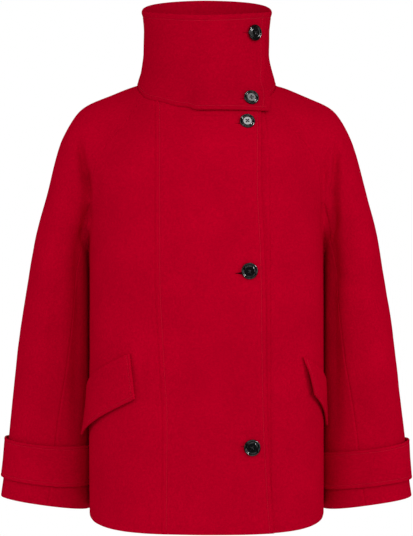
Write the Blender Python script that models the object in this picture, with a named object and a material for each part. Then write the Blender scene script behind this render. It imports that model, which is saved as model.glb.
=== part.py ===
"""Funnel neck coat: a short wool coat, filled out as worn, hollow and open at neck, hem and sleeve ends.

Metres, +Z up, the front faces -Y and +X is the viewer's right. The origin is the middle of the neck base.
"Right" and "left" in the names are the wearer's, so the right side lies at negative X.

The outer face of the coat is the level zero of one field: the torso form joined softly with two sleeve forms.
Each cut piece is a grid of points on that face, between seams that neighbouring pieces share, and gets its
thickness inwards.
"""
import math

import bmesh
import bpy
import numpy as np
from mathutils import Matrix, Vector

# ---------------------------------------------------------------- sizes (metres, degrees)
CLOTH = 0.0025           # one layer of coating wool
DOUBLED = 0.0036         # collar, flaps and cuff bands are two layers
SEAM_GAP = 0.0003        # clearance between neighbouring pieces
LAP_GAP = 0.0006         # clearance between layers that lie on each other
CUFF_STAND = 0.0012      # clearance of a cuff band from its sleeve

HEM_SIDE = -0.667        # hem height at the sides
HEM_DROP = 0.027         # how much lower the hem hangs at the middle front
HEM_BACK_DROP = 0.018
BLEND = 0.030            # softness of the join of torso and sleeve
CREASE = 0.0004          # the same where they only lie side by side
BLEND_BEGINS = (-0.215, -0.110)   # heights over which they join
BLEND_EASES = (-0.050, 0.000)     # heights over which the join is sharper again, by the share BLEND_EASED
BLEND_EASED = 0.75
HEM_BOW = 0.84           # power of the hem's bow

RED = (0.392, 0.0012, 0.0110)
BLACK = (0.010, 0.010, 0.011)

# upright lines on the fronts: distance from the middle at each height
RIGHT_SEAM = {"height": (-.690, -.520, -.440, -.280, -.100, -.025),
              "x": (.0690, .0676, .0722, .0790, .0790, .0805)}
LEFT_SEAM = {"height": (-.690, -.150, -.080, -.025), "x": (.0980, .0965, .0935, .0880)}
LAP_EDGE = {"height": (-.690, -.600, -.520, -.440, -.280, -.150, -.040),
            "x": (.1026, .0965, .0927, .0912, .0889, .0835, .0843)}
UNDER_EDGE_X = 0.0150    # free edge of the left front, under the lap
LAP_RISES = (-0.055, 0.005)  # over this width the right front rises to lie on the left front

# torso sections
TORSO = {
    "height":      (-0.760, -0.400, -0.250, -0.150, -0.100, -0.060, -0.030, 0.000, 0.030),
    "half_width":  (0.1860, 0.1860, 0.1860, 0.1850, 0.1760, 0.1560, 0.1320, 0.1090, 0.1000),
    "front_depth": (0.1500, 0.1500, 0.1500, 0.1460, 0.1330, 0.1110, 0.0930, 0.0860, 0.0850),
    "back_depth":  (0.1400, 0.1380, 0.1400, 0.1420, 0.1370, 0.1220, 0.1020, 0.0860, 0.0800),
    "squareness":  (3.00, 3.00, 3.00, 2.90, 2.75, 2.60, 2.45, 2.30, 2.30),
}
# sleeve sections from the neck to the sleeve end: outermost and innermost point of each, its half depth,
# how far its middle lies behind the side line, and how square it is
SLEEVE = {
    "station":    (0.00, 0.06, 0.12, 0.20, 0.26, 0.32, 0.40, 0.48, 0.60, 0.69, 0.80, 0.88, 0.96, 1.00),
    "outer_x":    (.0600, .1080, .1505, .2010, .2275, .2420, .2582,
                   .2748, .2915, .3014, .3108, .3180, .3260, .3315),
    "outer_z":    (.0120, .0060, -.0095, -.0345, -.0745, -.1145, -.1785,
                   -.2430, -.3395, -.4040, -.4850, -.5490, -.6180, -.6540),
    "inner_x":    (.0550, .1000, .1250, .1400, .1550, .1700, .1845,
                   .1872, .1868, .1868, .1870, .1910, .1912, .1885),
    "inner_z":    (-.0900, -.1200, -.1700, -.2100, -.2250, -.2350, -.2450,
                   -.2750, -.3500, -.4120, -.4900, -.5590, -.6330, -.6740),
    "half_depth": (.0580, .0680, .0810, .0890, .0900, .0880, .0850,
                   .0810, .0750, .0710, .0670, .0640, .0625, .0620),
    "set_back":   (.0240, .0240, .0200, .0150, .0140, .0150, .0165,
                   .0190, .0240, .0270, .0290, .0300, .0300, .0300),
    "squareness": (2.20, 2.20, 2.20, 2.20, 2.25, 2.30, 2.30,
                   2.30, 2.30, 2.35, 2.40, 2.40, 2.40, 2.40),
}
# neck seam heights round the neck, 0 at the middle front and 180 at the middle back
NECK = {
    "angle":  (0, 22, 31, 42, 53, 65, 78, 92, 115, 140, 180),
    "height": (-.0400, -.0378, -.0340, -.0285, -.0232, -.0130, -.0040, .0020, .0095, .0145, .0170),
}
# armhole seam from the neck down to its lowest point under the arm, on the torso form
ARMHOLE_FRONT = {
    "angle":  (63.0, 59.0, 57.8, 59.5, 62.0, 64.8, 67.1, 68.6, 71.2, 75.6, 80.0, 85.0, 90.0),
    "height": (-.0145, -.036, -.060, -.080, -.100, -.125, -.155,
               -.183, -.205, -.225, -.235, -.2425, -.2495),
}
ARMHOLE_BACK = {
    "angle":  (126.0, 127.0, 127.0, 126.0, 124.3, 122.2, 119.6, 116.4, 112.0, 104.5, 90.0),
    "height": (.0120, -.015, -.045, -.085, -.120, -.150, -.180, -.205, -.225, -.240, -.2495),
}
SLEEVE_SEAM_JOINS = -0.185   # height at which the sleeve's own seams meet the armhole seam
# where the seams of the sleeve run, 0 at the outer side, 90 at the front and 180 at the inner side
SLEEVE_SEAM = {"station": (0.36, 0.48, 0.60, 0.72, 0.86, 1.00), "front": (142, 134, 124, 115, 103, 96)}
# collar rings from the neck seam to the rim, and the rim's heights
COLLAR = {
    "rise":        (0.00, 0.20, 0.45, 0.70, 0.90, 1.00),
    "half_width":  (.1100, .1045, .1005, .1002, .1020, .1045),
    "front_depth": (.0920, .0890, .0870, .0865, .0870, .0880),
    "back_depth":  (.0860, .0810, .0770, .0760, .0770, .0785),
}
RIM_FRONT, RIM_SIDE, RIM_BACK = 0.1050, 0.1225, 0.1520
# the free end of the collar's lap, which drops straight down: its angle at each share of the collar's height
COLLAR_END = {"rise": (0.00, 0.15, 0.30, 0.50, 1.00), "angle": (46.0, 54.0, 60.0, 63.0, 64.0)}
COLLAR_LAST = 63.0       # the collar's last column, before it is drawn to that end
COLLAR_UNDER_END = 9.0   # where the end under it starts
COLLAR_LOOSE = (-34.0, -16.0)  # over these degrees the lapped end comes off the neck edge, outwards,
COLLAR_DROPS = (-14.0, -4.0)   # and over these it drops to its free lower edge
COLLAR_FREE_EDGE = -0.0435
COLLAR_STEP = 9.0
COLLAR_ROWS = np.array((0.00, 0.06, 0.14, 0.26, 0.48, 0.74, 1.00))
COLLAR_SQUARE = 2.3      # how square its rings are
COLLAR_CLEAR = 0.0014    # clearance of its sewn edge above the neck seam
COLLAR_SLOPE = 1.7       # the front slopes here, so a layer takes this much more room measured level
COLLAR_SPREAD = 0.30     # share of its height over which it spreads to meet the neck seam
# pocket flaps: degrees round and height of the four corners, and how far the lower back corner stands off
FLAPS = {
    "name":      ("right", "left"),
    "side":      (-1, 1),
    "top_front": ((40.5, -.4175), (51.0, -.4240)),
    "low_front": ((37.6, -.4880), (56.0, -.4840)),
    "low_back":  ((77.0, -.5515), (80.0, -.5370)),
    "top_back":  ((77.0, -.4725), (80.0, -.4700)),
    "tip_lift":  (.0080, .0015),
}
CUFF_STATIONS = (0.897, 0.930, 0.9636)
CUFF_CORNER = 0.0020     # how much further the band's upper outer corner stands off
CUFF_COLUMNS = 25
FLAP_SEWN, FLAP_HANGS = 0.0009, 0.0024   # clearance along the sewn edge and along the lower edge
# buttons: place on the front (x, z), radius, which piece they lie on
BUTTONS = {
    "x":      (0.0747, 0.0691, 0.0623, 0.0651, 0.0690),
    "z":      (0.0794, -0.0244, -0.0633, -0.2926, -0.5612),
    "radius": (0.01275, 0.0111, 0.0111, 0.01275, 0.01275),
    "on":     ("collar", "collar", "front", "front", "front"),
}
BUTTON_THICK = 0.0035
BUTTON_LIFT = 0.0010     # its back above the cloth
SHANK_RADIUS = 0.0020    # thread shank
BUTTON_RIM = 0.0021      # width of the raised rim
BUTTON_DISH = 0.0013     # depth of the dish inside it
BUTTON_SIDES = 20

# steps along each seam; neighbours share them, so their facets meet
RAGLAN_STEPS = 6         # armhole, neck to the sleeve's seam
UNDERARM_STEPS = 4       # on to the lowest point of the armhole
SIDE_STEPS = 11          # side seam, down to the hem
SLEEVE_STEPS = 13        # sleeve seams, down to the sleeve end
FRONT_COLUMNS = (4, 5)   # right front: long seam to the under edge, and on to the lap edge
UNDER_COLUMNS = 7
SIDE_COLUMNS = 7
BACK_COLUMNS = 12
SLEEVE_COLUMNS = 12

# ---------------------------------------------------------------- small helpers


def smooth(x, xs, ys):
    """Value at x of a cubic through the points (xs, ys) that never overshoots them, level beyond the ends."""
    xs, ys = np.asarray(xs, float), np.asarray(ys, float)
    step = np.diff(xs)
    slope = np.diff(ys) / step
    both = slope[1:] * slope[:-1]
    inner = np.where(both > 0, 2 * both / np.where(both > 0, slope[1:] + slope[:-1], 1.0), 0.0)
    tangent = np.concatenate(([slope[0]], inner, [slope[-1]]))
    x = np.clip(np.asarray(x, float), xs[0], xs[-1])
    i = np.clip(np.searchsorted(xs, x, side="right") - 1, 0, len(step) - 1)
    t = (x - xs[i]) / step[i]
    a, b = ys[i], ys[i + 1]
    p, q = tangent[i] * step[i], tangent[i + 1] * step[i]
    return a + t * (p + t * (3 * (b - a) - 2 * p - q + t * (2 * (a - b) + p + q)))


def column(table, key, name, x):
    """The column `name` of a table read at x of its column `key`."""
    return smooth(x, table[key], table[name])


def ease(x, low, high):
    """0 below low, 1 above high, and a smooth step between."""
    t = np.clip((np.asarray(x, float) - low) / (high - low), 0.0, 1.0)
    return t * t * (3 - 2 * t)


def unit(v):
    """Vectors at length one."""
    return v / np.maximum(np.linalg.norm(v, axis=-1, keepdims=True), 1e-12)


# ---------------------------------------------------------------- forms


def torso_radius(angle, height):
    """Distance from the middle line to the torso form; angle in radians from the front."""
    wide = column(TORSO, "height", "half_width", height)
    front = column(TORSO, "height", "front_depth", height)
    back = column(TORSO, "height", "back_depth", height)
    power = column(TORSO, "height", "squareness", height)
    deep = np.where(np.cos(angle) > 0, front, back)
    return (np.abs(np.sin(angle) / wide) ** power + np.abs(np.cos(angle) / deep) ** power) ** (-1 / power)


def torso_field(p):
    """About the distance of points from the torso form, negative inside."""
    angle = np.arctan2(p[..., 0], -p[..., 1])
    reach = np.hypot(p[..., 0], p[..., 1])
    here = torso_radius(angle, p[..., 2])
    lean = (torso_radius(angle, p[..., 2] + 0.002) - torso_radius(angle, p[..., 2] - 0.002)) / 0.004
    return (reach - here) / np.sqrt(1 + lean ** 2)


FINE = np.linspace(0, 1, 121)
SECTION = {name: column(SLEEVE, "station", name, FINE) for name in SLEEVE if name != "station"}


def sleeve_station(x, z):
    """The station of the section line that passes through (x, z)."""
    run_x = SECTION["outer_x"] - SECTION["inner_x"]
    run_z = SECTION["outer_z"] - SECTION["inner_z"]
    off = ((x[..., None] - SECTION["inner_x"]) * run_z - (z[..., None] - SECTION["inner_z"]) * run_x)
    off = off / np.hypot(run_x, run_z)
    beyond = off < 0
    first = np.argmax(beyond, axis=-1)
    first = np.where(beyond.any(axis=-1), first, len(FINE) - 1)
    first = np.clip(first, 1, len(FINE) - 1)
    low = np.take_along_axis(off, (first - 1)[..., None], -1)[..., 0]
    high = np.take_along_axis(off, first[..., None], -1)[..., 0]
    share = np.clip(low / np.where(np.abs(low - high) < 1e-12, 1.0, low - high), 0.0, 1.0)
    return FINE[first - 1] + share * (FINE[1] - FINE[0])


def sleeve_frame(station):
    """Middle, outward direction, half width, half depth, set-back and squareness of sections."""
    value = {name: np.interp(station, FINE, SECTION[name]) for name in SECTION}
    outer = np.stack([value["outer_x"], value["outer_z"]], -1)
    inner = np.stack([value["inner_x"], value["inner_z"]], -1)
    half = np.linalg.norm(outer - inner, axis=-1) / 2
    rest = [value[name] for name in ("half_depth", "set_back", "squareness")]
    return ((outer + inner) / 2, unit(outer - inner), half, *rest)


def sleeve_place_of(p):
    """Station of points near a sleeve at positive X, offsets in its section, half sizes and scale."""
    station = sleeve_station(p[..., 0], p[..., 2])
    middle, out, half, deep, back, power = sleeve_frame(station)
    along = (p[..., 0] - middle[..., 0]) * out[..., 0] + (p[..., 2] - middle[..., 1]) * out[..., 1]
    depth = p[..., 1] - back
    scale = (np.abs(along / half) ** power + np.abs(depth / deep) ** power) ** (1 / power)
    return station, along, depth, half, deep, scale


def sleeve_chart(p):
    """Station, angle (0 outer side, 90 front, 180 inner side) and scale of points near a sleeve."""
    station, along, depth, half, deep, scale = sleeve_place_of(p)
    return station, np.arctan2(-depth / deep, along / half), scale


def sleeve_point(station, angle, scale=1.0):
    """The point of the sleeve form at a chart place, at positive X."""
    middle, out, half, deep, back, power = sleeve_frame(station)
    ring = (np.abs(np.cos(angle)) ** power + np.abs(np.sin(angle)) ** power) ** (-1 / power) * scale
    along = ring * np.cos(angle) * half
    return np.stack([middle[..., 0] + along * out[..., 0], back - ring * np.sin(angle) * deep,
                     middle[..., 1] + along * out[..., 1]], -1)


def sleeve_field(p):
    """About the distance of points from the sleeve form at positive X, negative inside."""
    _, along, depth, _, _, scale = sleeve_place_of(p)
    return np.hypot(along, depth) * (1 - 1 / np.maximum(scale, 1e-6))


def coat_field(p):
    """The torso form joined softly with both sleeves; the coat's outer face is where this is zero."""
    aside = np.stack([np.abs(p[..., 0]), p[..., 1], p[..., 2]], -1)
    torso, sleeve = torso_field(p), sleeve_field(aside)
    joined = ease(p[..., 2], *BLEND_BEGINS) * (1 - BLEND_EASED * ease(p[..., 2], *BLEND_EASES))
    soft = CREASE + BLEND * joined
    near = np.clip(0.5 + 0.5 * (sleeve - torso) / soft, 0.0, 1.0)
    return sleeve + (torso - sleeve) * near - soft * near * (1 - near)


def gradient(field, p):
    """Slope of a field by differences."""
    h = 0.0004
    parts = []
    for axis in range(3):
        step = np.zeros(3)
        step[axis] = h
        parts.append((field(p + step) - field(p - step)) / (2 * h))
    return np.stack(parts, -1)


def onto(field, p, rounds=5):
    """Points moved to the level zero of a field."""
    for _ in range(rounds):
        g = gradient(field, p)
        size = np.maximum((g ** 2).sum(-1, keepdims=True), 0.09)
        p = p - np.clip(field(p)[..., None] / size, -0.02, 0.02) * g
    return p


# ---------------------------------------------------------------- seams


def ring_point(angle, height):
    """The torso form's point at an angle in radians and a height."""
    reach = torso_radius(angle, height)
    return np.stack([reach * np.sin(angle), -reach * np.cos(angle), height + 0 * angle], -1)


def hem_height(angle):
    """The hem hangs lower at the middle front and middle back than at the sides."""
    point = ring_point(angle, HEM_SIDE)
    front = np.clip(-point[..., 1] / TORSO["front_depth"][0], 0, 1) ** HEM_BOW
    back = np.clip(point[..., 1] / TORSO["back_depth"][0], 0, 1) ** HEM_BOW
    return HEM_SIDE - HEM_DROP * front - HEM_BACK_DROP * back


def neck_height(angle):
    """Height of the neck seam at an angle in radians."""
    return column(NECK, "angle", "height", np.degrees(np.arccos(np.cos(angle))))


def angle_at(x, height):
    """Angle in radians at which the front of the torso form lies x from the middle."""
    angle = np.full(np.shape(height), 0.3) * np.sign(x)
    for _ in range(40):
        angle = 0.5 * angle + 0.5 * np.arcsin(np.clip(x / torso_radius(angle, height), -1, 1))
    return angle


def coat_point(angle, height):
    """Point on the coat's outer face at an angle and a height of the torso chart."""
    return onto(coat_field, ring_point(angle, height))


def reach_at(angle, height):
    """Level distance from the middle line to the coat's outer face at an angle and a height."""
    reach = torso_radius(angle, height + 0 * angle)
    for _ in range(12):
        point = np.stack([reach * np.sin(angle), -reach * np.cos(angle), height + 0 * angle], -1)
        reach = reach - coat_field(point)
    return reach


def even(points, count):
    """`count` + 1 points spaced evenly along a polyline."""
    run = np.concatenate(([0], np.cumsum(np.linalg.norm(np.diff(points, axis=0), axis=1))))
    at = np.linspace(0, run[-1], count + 1)
    return np.stack([np.interp(at, run, points[:, k]) for k in range(3)], -1)


def armhole(table):
    """Armhole seam at positive X: points from the neck to the sleeve's seam, and on to the lowest point."""
    rows = np.arange(len(table["angle"]))
    fine = np.linspace(0, rows[-1], 200)
    angle, height = smooth(fine, rows, np.radians(table["angle"])), smooth(fine, rows, table["height"])
    points = coat_point(angle, height)
    cut = int(np.argmax(height < SLEEVE_SEAM_JOINS))
    return even(points[:cut + 1], RAGLAN_STEPS), even(points[cut:], UNDERARM_STEPS)


def mirrored(points):
    """The same points on the other side."""
    return points * np.array([-1.0, 1.0, 1.0])


def join(*lines):
    """Polylines laid end to end, with each shared end kept once."""
    return np.concatenate([lines[0]] + [line[1:] for line in lines[1:]])


# ---------------------------------------------------------------- charts: places on a form as three numbers


def torso_chart(p):
    """Angle round the torso, height, and distance out as a share of the torso form's."""
    angle = np.arctan2(p[..., 0], -p[..., 1])
    return np.stack([angle, p[..., 2], np.hypot(p[..., 0], p[..., 1]) / torso_radius(angle, p[..., 2])], -1)


def torso_place(chart):
    """The point at a place of the torso chart."""
    reach = torso_radius(chart[..., 0], chart[..., 1]) * chart[..., 2]
    return np.stack([reach * np.sin(chart[..., 0]), -reach * np.cos(chart[..., 0]), chart[..., 1]], -1)


def back_chart(p):
    """The torso chart with its angle running on past the middle back."""
    chart = torso_chart(p)
    chart[..., 0] = np.mod(chart[..., 0], 2 * math.pi)
    return chart


def upper_chart(p):
    """The sleeve chart for pieces that cross the outer side."""
    return np.stack(sleeve_chart(p), -1)


def under_chart(p):
    """The sleeve chart for pieces that cross the inner side."""
    chart = upper_chart(p)
    chart[..., 1] = np.mod(chart[..., 1], 2 * math.pi)
    return chart


def sleeve_place(chart):
    """The point at a place of the sleeve chart."""
    return sleeve_point(chart[..., 0], chart[..., 1], chart[..., 2])


def coons(top, bottom, left, right):
    """Chart places inside four edges: rows run from top to bottom, columns from left to right."""
    u = np.linspace(0, 1, len(top))[None, :, None]
    v = np.linspace(0, 1, len(left))[:, None, None]
    across = (1 - v) * top[None] + v * bottom[None]
    down = (1 - u) * left[:, None] + u * right[:, None]
    corners = (1 - v) * ((1 - u) * top[0] + u * top[-1]) + v * ((1 - u) * bottom[0] + u * bottom[-1])
    return across + down - corners


def panel_points(edges, to_chart, to_place):
    """Grid of points on the coat's outer face between four edges of points (top, bottom, left, right)."""
    top, bottom, left, right = edges
    for end, row in ((0, top), (-1, bottom)):
        row[0], row[-1] = left[end], right[end]
    grid = onto(coat_field, to_place(coons(*[to_chart(edge) for edge in edges])))
    grid[0], grid[-1], grid[:, 0], grid[:, -1] = top, bottom, left, right
    return grid


def outward(own_field, grid):
    """Directions out of the cloth: the coat's own, or in a deep fold the piece's own form's."""
    whole, own = unit(gradient(coat_field, grid)), unit(gradient(own_field, grid))
    turn = np.degrees(np.arccos(np.clip((whole * own).sum(-1), -1, 1)))
    share = (ease(turn, 12, 40) * (1 - ease(np.abs(own_field(grid)), 0.004, 0.010)))[..., None]
    return unit(whole * (1 - share) + own * share)


# ---------------------------------------------------------------- solids


def trimmed(grid, gap):
    """The grid with its four edges drawn in by half a gap."""
    grid = grid.copy()
    for edge, inner in (((0,), (1,)), ((-1,), (-2,)), ((slice(None), 0), (slice(None), 1)),
                        ((slice(None), -1), (slice(None), -2))):
        grid[edge] += unit(grid[inner] - grid[edge]) * gap / 2
    return grid


def wall(name, outer, inner, material, closed=False):
    """A closed wall between two grids of points; `closed` joins the last column to the first."""
    rows, columns = outer.shape[:2]
    mesh = bpy.data.meshes.new(name)
    place = np.arange(rows * columns).reshape(rows, columns)
    if closed:
        place = np.concatenate([place, place[:, :1]], axis=1)
    back = place + rows * columns
    quads = [np.stack([place[:-1, :-1], place[1:, :-1], place[1:, 1:], place[:-1, 1:]], -1).reshape(-1, 4),
             np.stack([back[:-1, :-1], back[:-1, 1:], back[1:, 1:], back[1:, :-1]], -1).reshape(-1, 4)]
    rims = [(place[0], back[0]), (back[-1], place[-1])]
    if not closed:
        rims += [(back[:, 0], place[:, 0]), (place[:, -1], back[:, -1])]
    for near, far in rims:
        quads.append(np.stack([near[:-1], near[1:], far[1:], far[:-1]], -1))
    mesh.from_pydata(np.concatenate([outer.reshape(-1, 3), inner.reshape(-1, 3)]).tolist(), [],
                     np.concatenate(quads).tolist())
    return place_object(name, mesh, material)


def place_object(name, mesh, material):
    """A named object whose closed mesh has its faces turned outwards."""
    shape = bmesh.new()
    shape.from_mesh(mesh)
    bmesh.ops.triangulate(shape, faces=shape.faces)
    bmesh.ops.recalc_face_normals(shape, faces=shape.faces)
    if shape.calc_volume(signed=True) < 0:
        bmesh.ops.reverse_faces(shape, faces=shape.faces)
    shape.to_mesh(mesh)
    shape.free()
    mesh.materials.append(material)
    thing = bpy.data.objects.new(name, mesh)
    bpy.context.scene.collection.objects.link(thing)
    return thing


def cloth_piece(name, grid, out, thickness, material, lift=None):
    """A cut piece: the grid, moved out by `lift`, with its thickness inwards and its edges drawn in."""
    raised = grid if lift is None else grid + out * lift[..., None]
    outer = trimmed(raised, SEAM_GAP)
    return wall(name, outer, outer - out * thickness, material)


def finish(name, colour, roughness, metallic=0.0):
    """A plain material."""
    material = bpy.data.materials.new(name)
    material.use_nodes = True
    shader = material.node_tree.nodes["Principled BSDF"]
    shader.inputs["Base Color"].default_value = (*colour, 1.0)
    shader.inputs["Roughness"].default_value = roughness
    shader.inputs["Metallic"].default_value = metallic
    return material


# ---------------------------------------------------------------- body pieces


def upright(table, sign, share):
    """Angle and height at each row of one of the upright lines, from the neck seam to the hem."""
    def at(height):
        return angle_at(sign * smooth(height, table["height"], table["x"]), height)
    top, low = np.array(-0.03), np.array(HEM_SIDE)
    for _ in range(20):
        top, low = neck_height(at(top)), hem_height(at(low))
    height = top + (low - top) * share
    return at(height), height


def neck_line(first, last, steps):
    """Points along the neck seam between two angles in radians."""
    angle = np.linspace(first, last, steps + 1)
    return coat_point(angle, neck_height(angle))


def hem_line(first, last, steps):
    """Points along the hem between two angles in radians."""
    angle = np.linspace(first, last, steps + 1)
    return coat_point(angle, hem_height(angle))


def side_line(start):
    """The side seam from the lowest point of the armhole to the hem."""
    height = start[2] + (HEM_SIDE - start[2]) * np.linspace(0, 1, SIDE_STEPS + 1)
    points = coat_point(np.full(SIDE_STEPS + 1, math.pi / 2), height)
    points[0] = start
    return points


def sleeve_line(start, way):
    """A seam down the sleeve, armhole to sleeve end; `way` is 1 for the front and -1 for the back."""
    first, angle, _ = sleeve_chart(start[None])
    station = first + (1 - first) * np.linspace(0, 1, SLEEVE_STEPS + 1)
    drawn = way * np.radians(smooth(station, SLEEVE_SEAM["station"], SLEEVE_SEAM["front"]))
    leave = 1 - ease(station, first, first + 0.15)
    points = onto(coat_field, sleeve_point(station, drawn + (angle - drawn[0]) * leave))
    points[0] = start
    return points


def seams():
    """The seams at positive X that neighbouring pieces share."""
    front, front_low = armhole(ARMHOLE_FRONT)
    back, back_low = armhole(ARMHOLE_BACK)
    front_low[-1] = back_low[-1] = (front_low[-1] + back_low[-1]) / 2
    side = side_line(front_low[-1])
    body_front = join(front, front_low, side)
    height = body_front[:, 2]
    return {"body_front": body_front, "body_back": join(back, back_low, side),
            "sleeve_front": join(front, sleeve_line(front[-1], 1)),
            "sleeve_back": join(back, sleeve_line(back[-1], -1)),
            "front_low": front_low, "back_low": back_low,
            "share": (height[0] - height) / (height[0] - height[-1])}


def angle_of(point):
    """Angle of a point round the torso."""
    return math.atan2(point[0], -point[1])


def front_grid(lines, steps, share):
    """Points of a front between upright lines, with `steps` columns between each pair."""
    angles = [lines[0][0]]
    for (left, _), (right, _), count in zip(lines[:-1], lines[1:], steps):
        angles += [left + (right - left) * k / count for k in range(1, count + 1)]
    angle = np.stack(angles, 1)
    top, low = neck_height(angle[0]), hem_height(angle[-1])
    return coat_point(angle, top + (low - top) * share[:, None])


def lap_lift(points):
    """How far the right front is lifted to lie over the left front."""
    return (CLOTH + LAP_GAP) * ease(points[..., 0], LAP_RISES[0], LAP_RISES[1])


def front_pieces(seam, wool):
    """The two fronts: the right one laps over the left one."""
    share = seam["share"]
    under = upright({"height": (HEM_SIDE, 0.0), "x": (UNDER_EDGE_X, UNDER_EDGE_X)}, 1, share)
    lines = [upright(RIGHT_SEAM, -1, share), under, upright(LAP_EDGE, 1, share)]
    grid = front_grid(lines, FRONT_COLUMNS, share)
    cloth_piece("front_panel_right", grid, outward(torso_field, grid), CLOTH, wool, lap_lift(grid))
    grid = front_grid([under, upright(LEFT_SEAM, 1, share)], (UNDER_COLUMNS,), share)
    cloth_piece("front_panel_left", grid, outward(torso_field, grid), CLOTH, wool)


def side_fronts(seam, wool):
    """The side fronts, each between its long front seam and the armhole and side seam."""
    for side, table in (("right", RIGHT_SEAM), ("left", LEFT_SEAM)):
        line = coat_point(*upright(table, 1, seam["share"]))
        outer = seam["body_front"]
        top = neck_line(angle_of(line[0]), angle_of(outer[0]), SIDE_COLUMNS)
        bottom = hem_line(angle_of(line[-1]), math.pi / 2, SIDE_COLUMNS)
        grid = panel_points((top, bottom, line, outer), torso_chart, torso_place)
        out = outward(torso_field, grid)
        if side == "right":
            grid, out = mirrored(grid), mirrored(out)
        cloth_piece("side_front_" + side, grid, out, CLOTH, wool)


def back_piece(seam, wool):
    """The back, one piece between the armholes and side seams of both sides."""
    left = seam["body_back"]
    turn = angle_of(left[0])
    top = neck_line(turn, 2 * math.pi - turn, BACK_COLUMNS)
    bottom = hem_line(math.pi / 2, 3 * math.pi / 2, BACK_COLUMNS)
    grid = panel_points((top, bottom, left, mirrored(left)), back_chart, torso_place)
    cloth_piece("back_panel", grid, outward(torso_field, grid), CLOTH, wool)


def sleeve_end(first, last, steps):
    """Points along the sleeve end between two chart angles."""
    return sleeve_point(np.ones(steps + 1), np.linspace(first, last, steps + 1))


def sleeve_pieces(seam, wool):
    """Upper and under sleeve at positive X and their mirror images."""
    front, back = seam["sleeve_front"], seam["sleeve_back"]
    end_front, end_back = upper_chart(front[-1]), upper_chart(back[-1])
    top = neck_line(angle_of(front[0]), angle_of(back[0]), SLEEVE_COLUMNS)
    bottom = sleeve_end(end_front[1], end_back[1], SLEEVE_COLUMNS)
    upper = panel_points((top, bottom, front, back), upper_chart, sleeve_place)
    top = join(seam["back_low"], seam["front_low"][::-1])
    bottom = sleeve_end(end_back[1] + 2 * math.pi, end_front[1], 2 * UNDERARM_STEPS)
    under = panel_points((top, bottom, back[RAGLAN_STEPS:], front[RAGLAN_STEPS:]), under_chart, sleeve_place)
    for name, grid in (("top_sleeve_", upper), ("under_sleeve_", under)):
        out = outward(sleeve_field, grid)
        cloth_piece(name + "left", grid, out, CLOTH, wool)
        cloth_piece(name + "right", mirrored(grid), mirrored(out), CLOTH, wool)


# ---------------------------------------------------------------- pieces that lie on the panels


def cuff_bands(wool):
    """The doubled band round each lower sleeve; it stands off a little more at its upper outer corner."""
    angle = np.linspace(0, 2 * math.pi, CUFF_COLUMNS, endpoint=False)[None, :]
    station = np.array(CUFF_STATIONS)[:, None]
    upper = ease(-station, -CUFF_STATIONS[-1], -CUFF_STATIONS[0])
    corner = CUFF_CORNER * ease(np.cos(angle), 0.2, 1.0) * upper
    grid = sleeve_point(station + 0 * angle, angle + 0 * station)
    out = unit(gradient(sleeve_field, grid))
    outer = grid + out * (CUFF_STAND + DOUBLED + corner)[..., None]
    inner = outer - out * DOUBLED
    wall("cuff_band_left", outer, inner, wool, closed=True)
    wall("cuff_band_right", mirrored(outer), mirrored(inner), wool, closed=True)


def pocket_flaps(wool):
    """The slanted flaps, sewn along their upper edge and standing off a little along the lower one."""
    u = np.linspace(0, 1, 9)[None, :]
    v = np.linspace(0, 1, 5)[:, None]
    for k, side in enumerate(FLAPS["name"]):
        corner = {place: FLAPS[place][k] for place in ("top_front", "low_front", "low_back", "top_back")}
        angle, height = (
            (1 - v) * ((1 - u) * corner["top_front"][i] + u * corner["top_back"][i])
            + v * ((1 - u) * corner["low_front"][i] + u * corner["low_back"][i]) for i in (0, 1))
        grid = coat_point(np.radians(angle), height)
        out = unit(gradient(torso_field, grid))
        lift = DOUBLED + FLAP_SEWN + (FLAP_HANGS - FLAP_SEWN) * v + FLAPS["tip_lift"][k] * (u * v) ** 2
        if FLAPS["side"][k] < 0:
            grid, out = mirrored(grid), mirrored(out)
        outer = grid + out * lift[..., None]
        wall("pocket_flap_" + side, outer, outer - out * DOUBLED, wool)


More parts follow.
